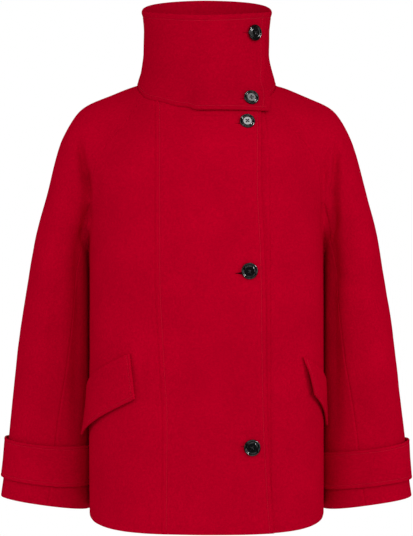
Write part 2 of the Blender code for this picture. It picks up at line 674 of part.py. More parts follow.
def collar_face(turn, rise):
    """Point on the collar's outer face; `turn` in degrees from its under end to its lapped end."""
    lapped = ease(turn, 325, 362)
    loose = ease(turn, 360 + COLLAR_LOOSE[0], 360 + COLLAR_LOOSE[1])
    drop = ease(turn, 360 + COLLAR_DROPS[0], 360 + COLLAR_DROPS[1])
    squeeze = (20 + column(COLLAR_END, "rise", "angle", rise)) / (20 + COLLAR_LAST)
    angle = np.radians(np.where(turn > 340, 340 + (turn - 340) * squeeze, turn))
    around = np.arctan2(np.sin(angle), np.cos(angle))
    sewn = coat_point(around, neck_height(around))
    lift = lap_lift(sewn) * (turn > 270)   # the front is lapped, and the back isn't
    sewn = sewn + unit(gradient(torso_field, sewn)) * lift[..., None] + np.array([0, 0, COLLAR_CLEAR])
    stand = DOUBLED + (CLOTH + 2 * LAP_GAP) * COLLAR_SLOPE
    foot_reach = np.hypot(sewn[..., 0], sewn[..., 1])
    foot_around = np.arctan2(sewn[..., 0], -sewn[..., 1])
    foot_height = sewn[..., 2] + (COLLAR_FREE_EDGE - sewn[..., 2]) * drop
    foot_reach = foot_reach + (reach_at(around, foot_height) + stand - foot_reach) * loose
    foot_around = foot_around + (around - foot_around) * loose
    cosine = np.cos(around)
    rim = RIM_SIDE + np.where(cosine > 0, (RIM_FRONT - RIM_SIDE) * cosine, (RIM_SIDE - RIM_BACK) * cosine)
    height = foot_height + (rim - foot_height) * rise
    wide = smooth(rise, COLLAR["rise"], COLLAR["half_width"])
    deep = np.where(cosine > 0, smooth(rise, COLLAR["rise"], COLLAR["front_depth"]),
                    smooth(rise, COLLAR["rise"], COLLAR["back_depth"]))
    ring = np.abs(np.sin(around) / wide) ** COLLAR_SQUARE + np.abs(cosine / deep) ** COLLAR_SQUARE
    reach = ring ** (-1 / COLLAR_SQUARE)
    reach = reach + (DOUBLED + LAP_GAP) * lapped
    share = np.clip(1 - rise / (COLLAR_SPREAD + 0.04 * drop), 0, 1) ** (2 - 0.8 * drop)
    reach = reach + (foot_reach - reach) * share
    around = around + (foot_around - around) * share
    return np.stack([reach * np.sin(around), -reach * np.cos(around), height], -1)


def collar_normal(turn, rise):
    """Direction out of the collar's outer face."""
    along = collar_face(turn + 0.5, rise) - collar_face(turn - 0.5, rise)
    up = collar_face(turn, rise + 0.01) - collar_face(turn, rise - 0.01)
    return unit(np.cross(along, up))


def collar_piece(wool):
    """The funnel collar: one doubled strip that goes once round and laps over its own start."""
    turn = np.arange(COLLAR_UNDER_END, 360 + COLLAR_LAST + 1, COLLAR_STEP)[None, :] + 0 * COLLAR_ROWS[:, None]
    rise = COLLAR_ROWS[:, None] + 0 * turn
    outer = collar_face(turn, rise)
    wall("collar", outer, outer - collar_normal(turn, rise) * DOUBLED, wool)


# ---------------------------------------------------------------- buttons


def revolved(name, profile, centre, axis, material, steps=BUTTON_SIDES):
    """A closed solid of revolution: `profile` holds (radius, height) from the foot to the top of its axis."""
    mesh = bpy.data.meshes.new(name)
    shape = bmesh.new()
    foot = shape.verts.new((0, 0, profile[0][1]))
    top = shape.verts.new((0, 0, profile[-1][1]))
    rings = [[shape.verts.new((r * math.cos(a), r * math.sin(a), h))
              for a in (2 * math.pi * i / steps for i in range(steps))] for r, h in profile]
    for i in range(steps):
        j = (i + 1) % steps
        shape.faces.new((foot, rings[0][j], rings[0][i]))
        shape.faces.new((top, rings[-1][i], rings[-1][j]))
        for low, high in zip(rings[:-1], rings[1:]):
            shape.faces.new((low[i], low[j], high[j], high[i]))
    tilt = Vector((0, 0, 1)).rotation_difference(Vector(axis)).to_matrix().to_4x4()
    bmesh.ops.transform(shape, matrix=Matrix.Translation(Vector(centre)) @ tilt, verts=shape.verts)
    shape.to_mesh(mesh)
    shape.free()
    return place_object(name, mesh, material)


def button_seat(x, z, on):
    """The point of the cloth's outer face seen at (x, z) on the front, and the direction out of it."""
    if on == "front":
        grid = coat_point(angle_at(np.array([x]), np.array([z])), np.array([z]))
        out = unit(gradient(coat_field, grid))
        return (grid + out * lap_lift(grid)[..., None])[0], out[0]
    turn, rise = np.meshgrid(np.linspace(380, 420, 161), np.linspace(0.02, 0.98, 161))
    face = collar_face(turn, rise)
    best = np.argmin((face[..., 0] - x) ** 2 + (face[..., 2] - z) ** 2)
    turn, rise = turn.ravel()[best], rise.ravel()[best]
    return face.reshape(-1, 3)[best], collar_normal(np.array([turn]), np.array([rise]))[0]


def buttons(plastic):
    """The five buttons, each with a thread shank that ends just above the cloth."""
    for k, (x, z, radius, on) in enumerate(zip(*(BUTTONS[c] for c in ("x", "z", "radius", "on")))):
        seat, out = button_seat(x, z, on)
        top = BUTTON_LIFT + BUTTON_THICK
        profile = ((SHANK_RADIUS, SEAM_GAP), (SHANK_RADIUS, BUTTON_LIFT),
                   (radius - BUTTON_THICK * 0.40, BUTTON_LIFT), (radius, BUTTON_LIFT + BUTTON_THICK * 0.34),
                   (radius, BUTTON_LIFT + BUTTON_THICK * 0.69), (radius - BUTTON_RIM * 0.38, top),
                   (radius - BUTTON_RIM, top), (radius - BUTTON_RIM * 2.0, top - BUTTON_DISH),
                   (radius - BUTTON_RIM * 2.5, top - BUTTON_DISH * 0.85))
        revolved("button_%d" % (k + 1), profile, seat, out, plastic)


def clear_scene():
    """Empty the file of objects."""
    for thing in list(bpy.data.objects):
        bpy.data.objects.remove(thing, do_unlink=True)


def main():
    """Build every piece of the coat."""
    clear_scene()
    wool = finish("red_wool", RED, 0.95)
    plastic = finish("black_button", BLACK, 0.25)
    seam = seams()
    front_pieces(seam, wool)
    side_fronts(seam, wool)
    back_piece(seam, wool)
    sleeve_pieces(seam, wool)
    cuff_bands(wool)
    collar_piece(wool)
    pocket_flaps(wool)
    buttons(plastic)


main()
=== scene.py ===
# %% [markdown]
# # Funnel neck coat
# The coat is a short, thick wool coat that keeps the shape of a wearer who isn't there. The CAD pieces are
# plain faceted walls. Here each of them is made again on the same form, but finely enough to carry what a
# tailor and the cloth itself put on it: sunk seams, stitched edges, round folded edges, soft folds and a
# felted surface.

import math

import bmesh
import bpy
import numpy as np
from mathutils.bvhtree import BVHTree
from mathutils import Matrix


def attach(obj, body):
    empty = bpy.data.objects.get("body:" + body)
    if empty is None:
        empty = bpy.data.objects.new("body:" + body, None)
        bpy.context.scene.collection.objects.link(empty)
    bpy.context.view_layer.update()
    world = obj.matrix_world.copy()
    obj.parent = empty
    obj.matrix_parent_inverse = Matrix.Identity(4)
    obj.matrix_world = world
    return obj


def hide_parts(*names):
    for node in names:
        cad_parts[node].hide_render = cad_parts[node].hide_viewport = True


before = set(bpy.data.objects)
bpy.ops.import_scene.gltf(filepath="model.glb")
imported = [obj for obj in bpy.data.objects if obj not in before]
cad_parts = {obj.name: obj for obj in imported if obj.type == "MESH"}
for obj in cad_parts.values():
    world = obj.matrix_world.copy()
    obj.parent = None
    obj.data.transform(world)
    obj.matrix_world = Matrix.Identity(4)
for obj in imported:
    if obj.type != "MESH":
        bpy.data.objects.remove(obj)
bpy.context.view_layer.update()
MM = 0.001

# %% [markdown]
# ## The form
# A garment's form could be sculpted, or a flat pattern could be sewn and simulated on a body. Both are hard
# to steer to one photograph. Here the outer face is the zero level of a field: a torso form, given by how
# wide and deep it is at each height, joined softly with a sleeve form on each side. The tables are the CAD
# part's own, in metres, so the cloth lies where its solids do. Only the lower sleeves lean a few
# millimetres more against the body and are a little squarer, and the join of sleeve and body is softer
# lower down, as in the photograph.

# %% Tables, directions and polylines


def smooth(x, xs, ys):
    """A cubic through the points (xs, ys) whose slope at each is the harmonic mean of its neighbours'
    slopes, so it never overshoots; level beyond the ends."""
    xs, ys = np.asarray(xs, float), np.asarray(ys, float)
    step = np.diff(xs)
    slope = np.diff(ys) / step
    both = slope[1:] * slope[:-1]
    inner = np.where(both > 0, 2 * both / np.where(both > 0, slope[1:] + slope[:-1], 1.0), 0.0)
    tangent = np.concatenate(([slope[0]], inner, [slope[-1]]))
    x = np.clip(np.asarray(x, float), xs[0], xs[-1])
    i = np.clip(np.searchsorted(xs, x, side="right") - 1, 0, len(step) - 1)
    t = (x - xs[i]) / step[i]
    a, b = ys[i], ys[i + 1]
    p, q = tangent[i] * step[i], tangent[i + 1] * step[i]
    return a + t * (p + t * (3 * (b - a) - 2 * p - q + t * (2 * (a - b) + p + q)))


def ease(x, low, high):
    """0 below low, 1 above high, and 3t^2 - 2t^3 between."""
    t = np.clip((np.asarray(x, float) - low) / (high - low), 0.0, 1.0)
    return t * t * (3 - 2 * t)


def unit(v):
    """Vectors at length one."""
    return v / np.maximum(np.linalg.norm(v, axis=-1, keepdims=True), 1e-12)


def on_side(points, side):
    """Points made for positive X, the viewer's right, or with `side` -1 their mirror images."""
    return points * np.array([side, 1, 1])


def round_point(reach, angle, height):
    """The point at a distance from the upright middle line, an angle in radians and a height."""
    return np.stack([reach * np.sin(angle), -reach * np.cos(angle), height + 0 * angle], -1)


def run_along(points):
    """How far along a polyline each of its points lies."""
    return np.concatenate(([0], np.cumsum(np.linalg.norm(np.diff(points, axis=0), axis=1))))


def read_at(at, run, values):
    """Points or directions, known at the places `run`, read at the places `at`."""
    return np.stack([np.interp(at, run, values[:, k]) for k in range(3)], -1)


# %% Torso and sleeve forms
TORSO = {
    "height":      (-0.760, -0.400, -0.250, -0.150, -0.100, -0.060, -0.030, 0.000, 0.030),
    "half_width":  (0.1860, 0.1860, 0.1860, 0.1850, 0.1760, 0.1560, 0.1320, 0.1090, 0.1000),
    "front_depth": (0.1500, 0.1500, 0.1500, 0.1460, 0.1330, 0.1110, 0.0930, 0.0860, 0.0850),
    "back_depth":  (0.1400, 0.1380, 0.1400, 0.1420, 0.1370, 0.1220, 0.1020, 0.0860, 0.0800),
    "squareness":  (3.00, 3.00, 3.00, 2.90, 2.75, 2.60, 2.45, 2.30, 2.30),
}
SLEEVE = {
    "station":    (0.00, 0.06, 0.12, 0.20, 0.26, 0.32, 0.40, 0.48, 0.60, 0.69, 0.80, 0.88, 0.96, 1.00),
    "outer_x":    (.0600, .1080, .1505, .2010, .2275, .2420, .2582,
                   .2748, .2915, .3014, .3108, .3180, .3260, .3315),
    "outer_z":    (.0120, .0060, -.0095, -.0345, -.0745, -.1145, -.1785,
                   -.2430, -.3395, -.4040, -.4850, -.5490, -.6180, -.6540),
    "inner_x":    (.0550, .1000, .1250, .1400, .1550, .1700, .1845,
                   .1864, .1858, .1854, .1852, .1855, .1856, .1868),
    "inner_z":    (-.0900, -.1200, -.1700, -.2100, -.2250, -.2350, -.2450,
                   -.2750, -.3500, -.4120, -.4900, -.5590, -.6330, -.6740),
    "half_depth": (.0580, .0680, .0810, .0890, .0900, .0880, .0850,
                   .0810, .0750, .0710, .0670, .0640, .0625, .0620),
    "set_back":   (.0240, .0240, .0200, .0150, .0140, .0150, .0165,
                   .0190, .0240, .0270, .0290, .0300, .0300, .0300),
    "squareness": (2.20, 2.20, 2.20, 2.20, 2.25, 2.30, 2.40,
                   2.45, 2.45, 2.45, 2.45, 2.45, 2.40, 2.40),
}
BLEND = 0.030                     # softness of the join of torso and sleeve
CREASE = 0.0004                   # the same where they only lie side by side
BLEND_BEGINS = (-0.325, -0.120)   # heights over which they join
BLEND_EASES = (-0.050, 0.000)     # heights over which the join is sharper again
BLEND_EASED = 0.75                # by this share
SEWN_BEGINS = (-0.275, -0.246)    # heights over which body and sleeve become one sewn face
FINE = np.linspace(0, 1, 121)
SECTION = {name: smooth(FINE, SLEEVE["station"], SLEEVE[name]) for name in SLEEVE if name != "station"}


def torso_radius(angle, height):
    """Distance from the middle line, on the superellipse |sin/wide|^n + |cos/deep|^n = 1/r^n there."""
    wide, front, back, power = (smooth(height, TORSO["height"], TORSO[name])
                                for name in ("half_width", "front_depth", "back_depth", "squareness"))
    deep = np.where(np.cos(angle) > 0, front, back)
    return (np.abs(np.sin(angle) / wide) ** power + np.abs(np.cos(angle) / deep) ** power) ** (-1 / power)


def torso_field(p):
    """About the distance from the torso form: the level distance, divided by the length of its slope."""
    angle = np.arctan2(p[..., 0], -p[..., 1])
    lean = (torso_radius(angle, p[..., 2] + 2 * MM) - torso_radius(angle, p[..., 2] - 2 * MM)) / (4 * MM)
    return (np.hypot(p[..., 0], p[..., 1]) - torso_radius(angle, p[..., 2])) / np.sqrt(1 + lean ** 2)


def sleeve_station(x, z):
    """The station whose section line passes through (x, z), where the distance to the lines changes sign."""
    run_x, run_z = SECTION["outer_x"] - SECTION["inner_x"], SECTION["outer_z"] - SECTION["inner_z"]
    off = (x[..., None] - SECTION["inner_x"]) * run_z - (z[..., None] - SECTION["inner_z"]) * run_x
    off = off / np.hypot(run_x, run_z)
    beyond = off < 0
    first = np.where(beyond.any(axis=-1), np.argmax(beyond, axis=-1), len(FINE) - 1)
    first = np.clip(first, 1, len(FINE) - 1)
    low = np.take_along_axis(off, (first - 1)[..., None], -1)[..., 0]
    high = np.take_along_axis(off, first[..., None], -1)[..., 0]
    share = np.clip(low / np.where(np.abs(low - high) < 1e-12, 1.0, low - high), 0.0, 1.0)
    return FINE[first - 1] + share * (FINE[1] - FINE[0])


def sleeve_frame(station):
    """Middle, outward direction, half width, half depth, set-back and squareness of sections."""
    value = {name: np.interp(station, FINE, SECTION[name]) for name in SECTION}
    outer = np.stack([value["outer_x"], value["outer_z"]], -1)
    inner = np.stack([value["inner_x"], value["inner_z"]], -1)
    half = np.linalg.norm(outer - inner, axis=-1) / 2
    rest = [value[name] for name in ("half_depth", "set_back", "squareness")]
    return ((outer + inner) / 2, unit(outer - inner), half, *rest)


def sleeve_place_of(p):
    """Station of points near a sleeve at positive X, offsets in its section, half sizes and scale."""
    station = sleeve_station(p[..., 0], p[..., 2])
    middle, out, half, deep, back, power = sleeve_frame(station)
    along = (p[..., 0] - middle[..., 0]) * out[..., 0] + (p[..., 2] - middle[..., 1]) * out[..., 1]
    depth = p[..., 1] - back
    scale = (np.abs(along / half) ** power + np.abs(depth / deep) ** power) ** (1 / power)
    return station, along, depth, half, deep, scale


def sleeve_field(p):
    """About the distance from the sleeve form at positive X: the reach times (1 - 1/scale)."""
    _, along, depth, _, _, scale = sleeve_place_of(p)
    return np.hypot(along, depth) * (1 - 1 / np.maximum(scale, 1e-6))


def sleeve_point(station, angle, scale=1.0):
    """The point of the sleeve form at a station and an angle: 0 outer side, 90 front, 180 inner side."""
    middle, out, half, deep, back, power = sleeve_frame(station)
    ring = (np.abs(np.cos(angle)) ** power + np.abs(np.sin(angle)) ** power) ** (-1 / power) * scale
    along = ring * np.cos(angle) * half
    return np.stack([middle[..., 0] + along * out[..., 0], back - ring * np.sin(angle) * deep,
                     middle[..., 1] + along * out[..., 1]], -1)


def both_fields(p):
    """The torso's field and that of the sleeve on the point's own side."""
    return torso_field(p), sleeve_field(np.stack([np.abs(p[..., 0]), p[..., 1], p[..., 2]], -1))


def coat_field(p):
    """Torso and sleeves joined: the smaller field, less a parabola where the two are within `soft`."""
    torso, sleeve = both_fields(p)
    joined = ease(p[..., 2], *BLEND_BEGINS) * (1 - BLEND_EASED * ease(p[..., 2], *BLEND_EASES))
    soft = CREASE + BLEND * joined
    near = np.clip(0.5 + 0.5 * (sleeve - torso) / soft, 0.0, 1.0)
    return sleeve + (torso - sleeve) * near - soft * near * (1 - near)


def slope_of(field, p, here):
    """How fast the field grows along each axis, over a step of 0.4 mm."""
    h = 0.4 * MM
    return np.stack([(field(p + h * axis) - here) / h for axis in np.eye(3)], -1)


LEAST_SLOPE, LONGEST_STEP, ROUNDS = 0.3, 0.02, 4     # they keep Newton's steps short and few


def onto(field, p):
    """Points moved to the zero level of a field, each round by value / slope (Newton's step)."""
    for _ in range(ROUNDS):
        here = field(p)
        slope = slope_of(field, p, here)
        size = np.maximum((slope ** 2).sum(-1), LEAST_SLOPE ** 2)
        p = p - np.clip(here / size, -LONGEST_STEP, LONGEST_STEP)[..., None] * slope
    return p


# angles between the two directions, and distances off the piece's own form, over which `outward` passes from
# the one to the other
TURNED, CLOSE = (12, 40), (4 * MM, 10 * MM)


def outward(own_field, p):
    """Directions out of the cloth: the coat's slope, or below the armhole, where body and sleeve only lie
    side by side, the piece's own form's."""
    whole = unit(slope_of(coat_field, p, coat_field(p)))
    mine = own_field(p)
    own = unit(slope_of(own_field, p, mine))
    turn = np.degrees(np.arccos(np.clip((whole * own).sum(-1), -1, 1)))
    apart = 1 - ease(p[..., 2], *SEWN_BEGINS)
    share = (apart * ease(turn, *TURNED) * (1 - ease(np.abs(mine), *CLOSE)))[..., None]
    return unit(whole * (1 - share) + own * share)


print("sleeve stations:", len(FINE), "torso rows:", len(TORSO["height"]))

# %% [markdown]
# ## Seams
# A coat is read by its seams, so they come before the cloth. Each one is a line on the form: the neck and
# hem by their height at each angle round the body, the long front seams and edges by how far they lie from
# the middle, the armholes by a short table. Neighbouring pieces share the same line, so no light shows
# between them.

# %% Lines round the body
HEM_SIDE = -0.667                 # the hem's height at the sides
HEM_DROP, HEM_BACK_DROP = 0.027, 0.018   # how much lower it is at the middle front and back
HEM_BOW = 0.84                    # below 1 its bow is fuller than the body's own curve
NECK = {
    "angle":  (0, 22, 31, 42, 53, 65, 78, 92, 115, 140, 180),
    "height": (-.0400, -.0378, -.0340, -.0285, -.0232, -.0130, -.0040, .0020, .0095, .0145, .0170),
}
RIGHT_SEAM = {"height": (-.690, -.520, -.440, -.280, -.100, -.025),
              "x": (.0690, .0676, .0722, .0790, .0790, .0805)}
LEFT_SEAM = {"height": (-.690, -.150, -.080, -.025), "x": (.0980, .0965, .0935, .0880)}
LAP_EDGE = {"height": (-.690, -.600, -.520, -.440, -.280, -.150, -.040),
            "x": (.1026, .0965, .0927, .0912, .0889, .0835, .0843)}
UNDER_EDGE = {"height": (-.690, -.040), "x": (.0150, .0150)}
ARMHOLE_FRONT = {
    "angle":  (63.0, 59.0, 57.8, 59.5, 62.0, 64.8, 67.1, 68.6, 71.2, 75.6, 80.0, 85.0, 90.0),
    "height": (-.0145, -.036, -.060, -.080, -.100, -.125, -.155,
               -.183, -.205, -.225, -.235, -.2425, -.2495),
}
ARMHOLE_BACK = {
    "angle":  (126.0, 127.0, 127.0, 126.0, 124.3, 122.2, 119.6, 116.4, 112.0, 104.5, 90.0),
    "height": (.0120, -.015, -.045, -.085, -.120, -.150, -.180, -.205, -.225, -.240, -.2495),
}
SLEEVE_SEAM_JOINS = -0.185        # height at which a sleeve's seam meets the armhole
SLEEVE_SEAM_LEAVES = 0.15         # stations over which it turns from the armhole's angle to its own
SLEEVE_SEAM = {"station": (0.36, 0.48, 0.60, 0.72, 0.86, 1.00), "front": (142, 134, 124, 115, 103, 96)}
SEAM_SAMPLES = 240
FIRST_ANGLE, HALVINGS, SETTLINGS = 0.3, 30, 12   # of the searches for a line's angle and its ends
RAGLAN_SHARE = 6 / 19             # share of a sleeve's seam that is armhole


def ring_point(angle, height):
    """The torso form's point at an angle in radians from the front and a height."""
    return round_point(torso_radius(angle, height), angle, height)


def coat_point(angle, height):
    """The coat's outer face at an angle and a height."""
    return onto(coat_field, ring_point(angle, height))


def hem_height(angle):
    """The hem bows down to the middle front and middle back."""
    point = ring_point(angle, HEM_SIDE)
    front = np.clip(-point[..., 1] / TORSO["front_depth"][0], 0, 1) ** HEM_BOW
    back = np.clip(point[..., 1] / TORSO["back_depth"][0], 0, 1) ** HEM_BOW
    return HEM_SIDE - HEM_DROP * front - HEM_BACK_DROP * back


def neck_height(angle):
    """Height of the neck seam at an angle in radians."""
    return smooth(np.degrees(np.arccos(np.cos(angle))), NECK["angle"], NECK["height"])


def angle_at(x, height):
    """Angle at which the torso form lies x from the middle, found by halving towards asin(x / radius)."""
    angle = np.full(np.shape(height), FIRST_ANGLE) * np.sign(x)
    for _ in range(HALVINGS):
        angle = 0.5 * angle + 0.5 * np.arcsin(np.clip(x / torso_radius(angle, height), -1, 1))
    return angle


def neck_line(first, last):
    """Points along the neck seam between two angles."""
    angle = np.linspace(first, last, SEAM_SAMPLES)
    return coat_point(angle, neck_height(angle))


def hem_line(first, last):
    """Points along the hem between two angles."""
    angle = np.linspace(first, last, SEAM_SAMPLES)
    return coat_point(angle, hem_height(angle))


def upright(table, sign):
    """Points down one of the front's upright lines, evenly spaced in height from neck seam to hem."""
    def at(height):
        return angle_at(sign * smooth(height, table["height"], table["x"]), height)
    top, low = np.array(0.0), np.array(HEM_SIDE)
    for _ in range(SETTLINGS):
        top, low = neck_height(at(top)), hem_height(at(low))
    height = np.linspace(top, low, SEAM_SAMPLES)
    return coat_point(at(height), height)


def even(points, count, by_height=False):
    """`count` points along a polyline, spaced evenly by length or by height."""
    run = -points[:, 2] if by_height else run_along(points)
    return read_at(np.linspace(run[0], run[-1], count), run, points)


def join(*lines):
    """Polylines laid end to end, with each shared end kept once."""
    return np.concatenate([lines[0]] + [line[1:] for line in lines[1:]])


# %% The armhole, side seam and sleeve seams at positive X


def armhole(table):
    """The armhole seam in two parts: neck to the sleeve's seam, and on to the lowest point."""
    rows = np.arange(len(table["angle"]))
    fine = np.linspace(0, rows[-1], 2 * SEAM_SAMPLES)
    angle, height = smooth(fine, rows, np.radians(table["angle"])), smooth(fine, rows, table["height"])
    points = coat_point(angle, height)
    cut = int(np.argmax(height < SLEEVE_SEAM_JOINS))
    return points[:cut + 1], points[cut:]


def sleeve_line(start, way):
    """A seam down the sleeve from the armhole; `way` is 1 at the front and -1 at the back. It leaves the
    armhole at the armhole's own angle and eases into the table's."""
    first, along, depth, half, deep, _ = (value[0] for value in sleeve_place_of(start[None]))
    angle = np.arctan2(-depth / deep, along / half)
    station = first + (1 - first) * np.linspace(0, 1, SEAM_SAMPLES)
    drawn = way * np.radians(smooth(station, SLEEVE_SEAM["station"], SLEEVE_SEAM["front"]))
    leave = 1 - ease(station, first, first + SLEEVE_SEAM_LEAVES)
    points = onto(coat_field, sleeve_point(station, drawn + (angle - drawn[0]) * leave))
    points[0] = start
    return points


front_high, front_low = armhole(ARMHOLE_FRONT)
back_high, back_low = armhole(ARMHOLE_BACK)
front_low[-1] = back_low[-1] = (front_low[-1] + back_low[-1]) / 2
side_height = np.linspace(front_low[-1][2], HEM_SIDE, SEAM_SAMPLES)
side_seam = coat_point(np.full(SEAM_SAMPLES, math.pi / 2), side_height)
side_seam[0] = front_low[-1]
sleeve_front, sleeve_back = sleeve_line(front_high[-1], 1), sleeve_line(back_high[-1], -1)
print("armhole %.0f mm round, side seam %.0f mm" % tuple(
    sum(run_along(line)[-1] for line in lines) / MM
    for lines in ((front_high, front_low, back_high, back_low), (side_seam,))))

# %% [markdown]
# ## A cut piece as a surface of two parameters
# A cut piece has four edges. In between, a Coons patch blends them: it adds the blend from top to bottom
# and the blend from left to right and takes the corners off once. It does so in angles and heights rather
# than in space, so it bends round the body, and each point is then moved onto the form. Rows and columns
# stand 0.2 to 1 mm apart beside an edge, where the cloth rolls over and is stitched, and about 4 mm apart
# inside.

# %% Charts and patches


def torso_chart(p):
    """Angle round the torso, height, and distance out as a share of the torso form's."""
    angle = np.arctan2(p[..., 0], -p[..., 1])
    return np.stack([angle, p[..., 2], np.hypot(p[..., 0], p[..., 1]) / torso_radius(angle, p[..., 2])], -1)


def torso_place(chart):
    """The point at a place of the torso chart."""
    angle, height, share = (chart[..., k] for k in range(3))
    return round_point(torso_radius(angle, height) * share, angle, height)


def sleeve_chart(p):
    """Station, angle and scale in the sleeve's sections."""
    station, along, depth, half, deep, scale = sleeve_place_of(p)
    return np.stack([station, np.arctan2(-depth / deep, along / half), scale], -1)


def sleeve_place(chart):
    """The point at a place of the sleeve chart."""
    return sleeve_point(chart[..., 0], chart[..., 1], chart[..., 2])


def unrolled(chart_of, axis):
    """The chart with its angle running on past half a turn, for pieces across the back or inner side."""
    def chart(p):
        value = chart_of(p)
        value[..., axis] = np.mod(value[..., axis], 2 * math.pi)
        return value
    return chart


def curve(points):
    """A polyline as a function of the share of its samples."""
    steps = np.linspace(0, 1, len(points))
    return lambda s: read_at(s, steps, points)


def patch(top, bottom, left, right, chart_of, place_of):
    """The cut piece between four lines of points, as a function of the shares u across and v down."""
    top[0], top[-1], bottom[0], bottom[-1] = left[0], right[0], left[-1], right[-1]
    tops, bottoms, lefts, rights = (chart_of(line) for line in (top, bottom, left, right))
    at_top, at_bottom, at_left, at_right = (curve(line) for line in (tops, bottoms, lefts, rights))

    def surface(u, v):
        across = (1 - v[..., None]) * at_top(u) + v[..., None] * at_bottom(u)
        down = (1 - u[..., None]) * at_left(v) + u[..., None] * at_right(v)
        upper = (1 - u[..., None]) * lefts[0] + u[..., None] * rights[0]
        lower = (1 - u[..., None]) * lefts[-1] + u[..., None] * rights[-1]
        return onto(coat_field, place_of(across + down - (1 - v[..., None]) * upper - v[..., None] * lower))
    return surface


# %% Rows and columns that crowd towards the edges
EDGE_ROWS = np.array((0.0, 0.2, 0.5, 0.9, 1.4, 2.0, 2.8, 3.8)) * MM
STITCH_ROWS = np.array((-1.6, -0.9, -0.4, 0.0, 0.4, 0.9, 1.6, 2.8)) * MM
PLAIN_ROW = 5.5 * MM              # the last one where nothing is stitched
ROWS_INSIDE, ROWS_CLOSEST = 1.5 * MM, 0.15 * MM


def near_edge(stitch, reach=0.0):
    """Distances of the rows beside an edge: close at it and at its stitch line, then even to `reach`."""
    rows = sorted(list(EDGE_ROWS) + (list(stitch + STITCH_ROWS) if stitch else [PLAIN_ROW]))
    while rows[-1] + ROWS_INSIDE < reach:
        rows.append(rows[-1] + ROWS_INSIDE)
    kept = [rows[0]]
    for row in rows[1:]:
        if row - kept[-1] > ROWS_CLOSEST:
            kept.append(row)
    return np.array(kept)


def spacing(first, last, longest, step):
    """Numbers a and b for each line, which lies at the share a + b / length: `first` and `last` are
    distances from the two edges, and the lines between them are spread evenly."""
    count = max(3, int(np.ceil((longest - first[-1] - last[-1]) / step)))
    t = np.linspace(0, 1, count + 1)[1:-1]
    a = np.concatenate([0 * first, t, 1 + 0 * last])
    b = np.concatenate([first, (1 - t) * first[-1] - t * last[-1], -last[::-1]])
    return a, b


def laid(surface, edges, step, reach=None):
    """Grid of a piece, each point's distance from its four edges, and its size. Lines lie `step` apart
    inside, or closer up to the distance that `reach` gives for an edge."""
    share = np.linspace(0, 1, 25)
    coarse = surface(*np.meshgrid(share, share))
    across = np.linalg.norm(np.diff(coarse, axis=1), axis=-1).sum(1)
    down = np.linalg.norm(np.diff(coarse, axis=0), axis=-1).sum(0)
    rows = {side: near_edge(edges[side][1], (reach or {}).get(side, 0.0)) for side in edges}
    a, b = spacing(rows["top"], rows["bottom"], down.max(), step)
    level = a + b / down.mean()
    width = np.interp(level, share, across)[:, None]
    c, d = spacing(rows["left"], rows["right"], across.max(), step)
    u = c + d / width
    length = np.interp(u, share, down)
    v = a[:, None] + b[:, None] / length
    away = {"left": u * width, "right": (1 - u) * width, "top": v * length, "bottom": (1 - v) * length}
    return surface(u, v), away, (across.max(), down.max())


# %% [markdown]
# ## What the cloth does
# Three kinds of relief are added along the cloth's own outward direction. At a seam the cloth turns in, so
# the face sinks half a millimetre. A free edge is folded, so it ends in a half round. A row of stitches
# pulls a fine groove. Folds are soft troughs and ridges along short listed lines, deepest in their
# middle, and a slow unevenness of half a millimetre keeps any large face from being perfect.

# %% Relief beside edges
SEAM_DIP, SEAM_WIDE = 0.6 * MM, 0.9 * MM
ALLOWANCE_RISE, ALLOWANCE_AT, ALLOWANCE_WIDE = 0.30 * MM, 3.6 * MM, 2.0 * MM
STITCH_DIP, STITCH_WIDE = 0.65 * MM, 0.80 * MM
EDGE_RISE = 0.25 * MM
SEAM, FOLD = 0.0, 1.0    # how far an edge is a free fold; an array where it changes along the edge
# for each edge of a piece: seam or fold, and how far in a row of stitches runs
HEMMED = {"left": (SEAM, None), "right": (SEAM, None), "top": (SEAM, None), "bottom": (FOLD, None)}


def quarter_round(away, thickness):
    """Depth of a quarter circle of half the thickness, beside an edge."""
    half = thickness / 2
    inside = np.clip((half - away) / half, 0, 1)
    return half * (1 - np.sqrt(1 - inside ** 2))


def edge_relief(fold, stitch, away, thickness):
    """Change of the outer face beside an edge. Seam: -dip e^-(d/w)^2, and the low ridge of the allowance
    under it. Fold: a quarter circle. Stitches: -dip e^-((d-s)/w)^2, and a low ridge outside them."""
    seam = ALLOWANCE_RISE * np.exp(-((away - ALLOWANCE_AT) / ALLOWANCE_WIDE) ** 2)
    seam = seam - SEAM_DIP * np.exp(-(away / SEAM_WIDE) ** 2)
    change = (1 - fold) * seam - fold * quarter_round(away, thickness)
    if stitch:
        change -= STITCH_DIP * np.exp(-((away - stitch) / STITCH_WIDE) ** 2)
        change += EDGE_RISE * np.exp(-((away - 0.5 * stitch) / (0.3 * stitch)) ** 2)
    return change
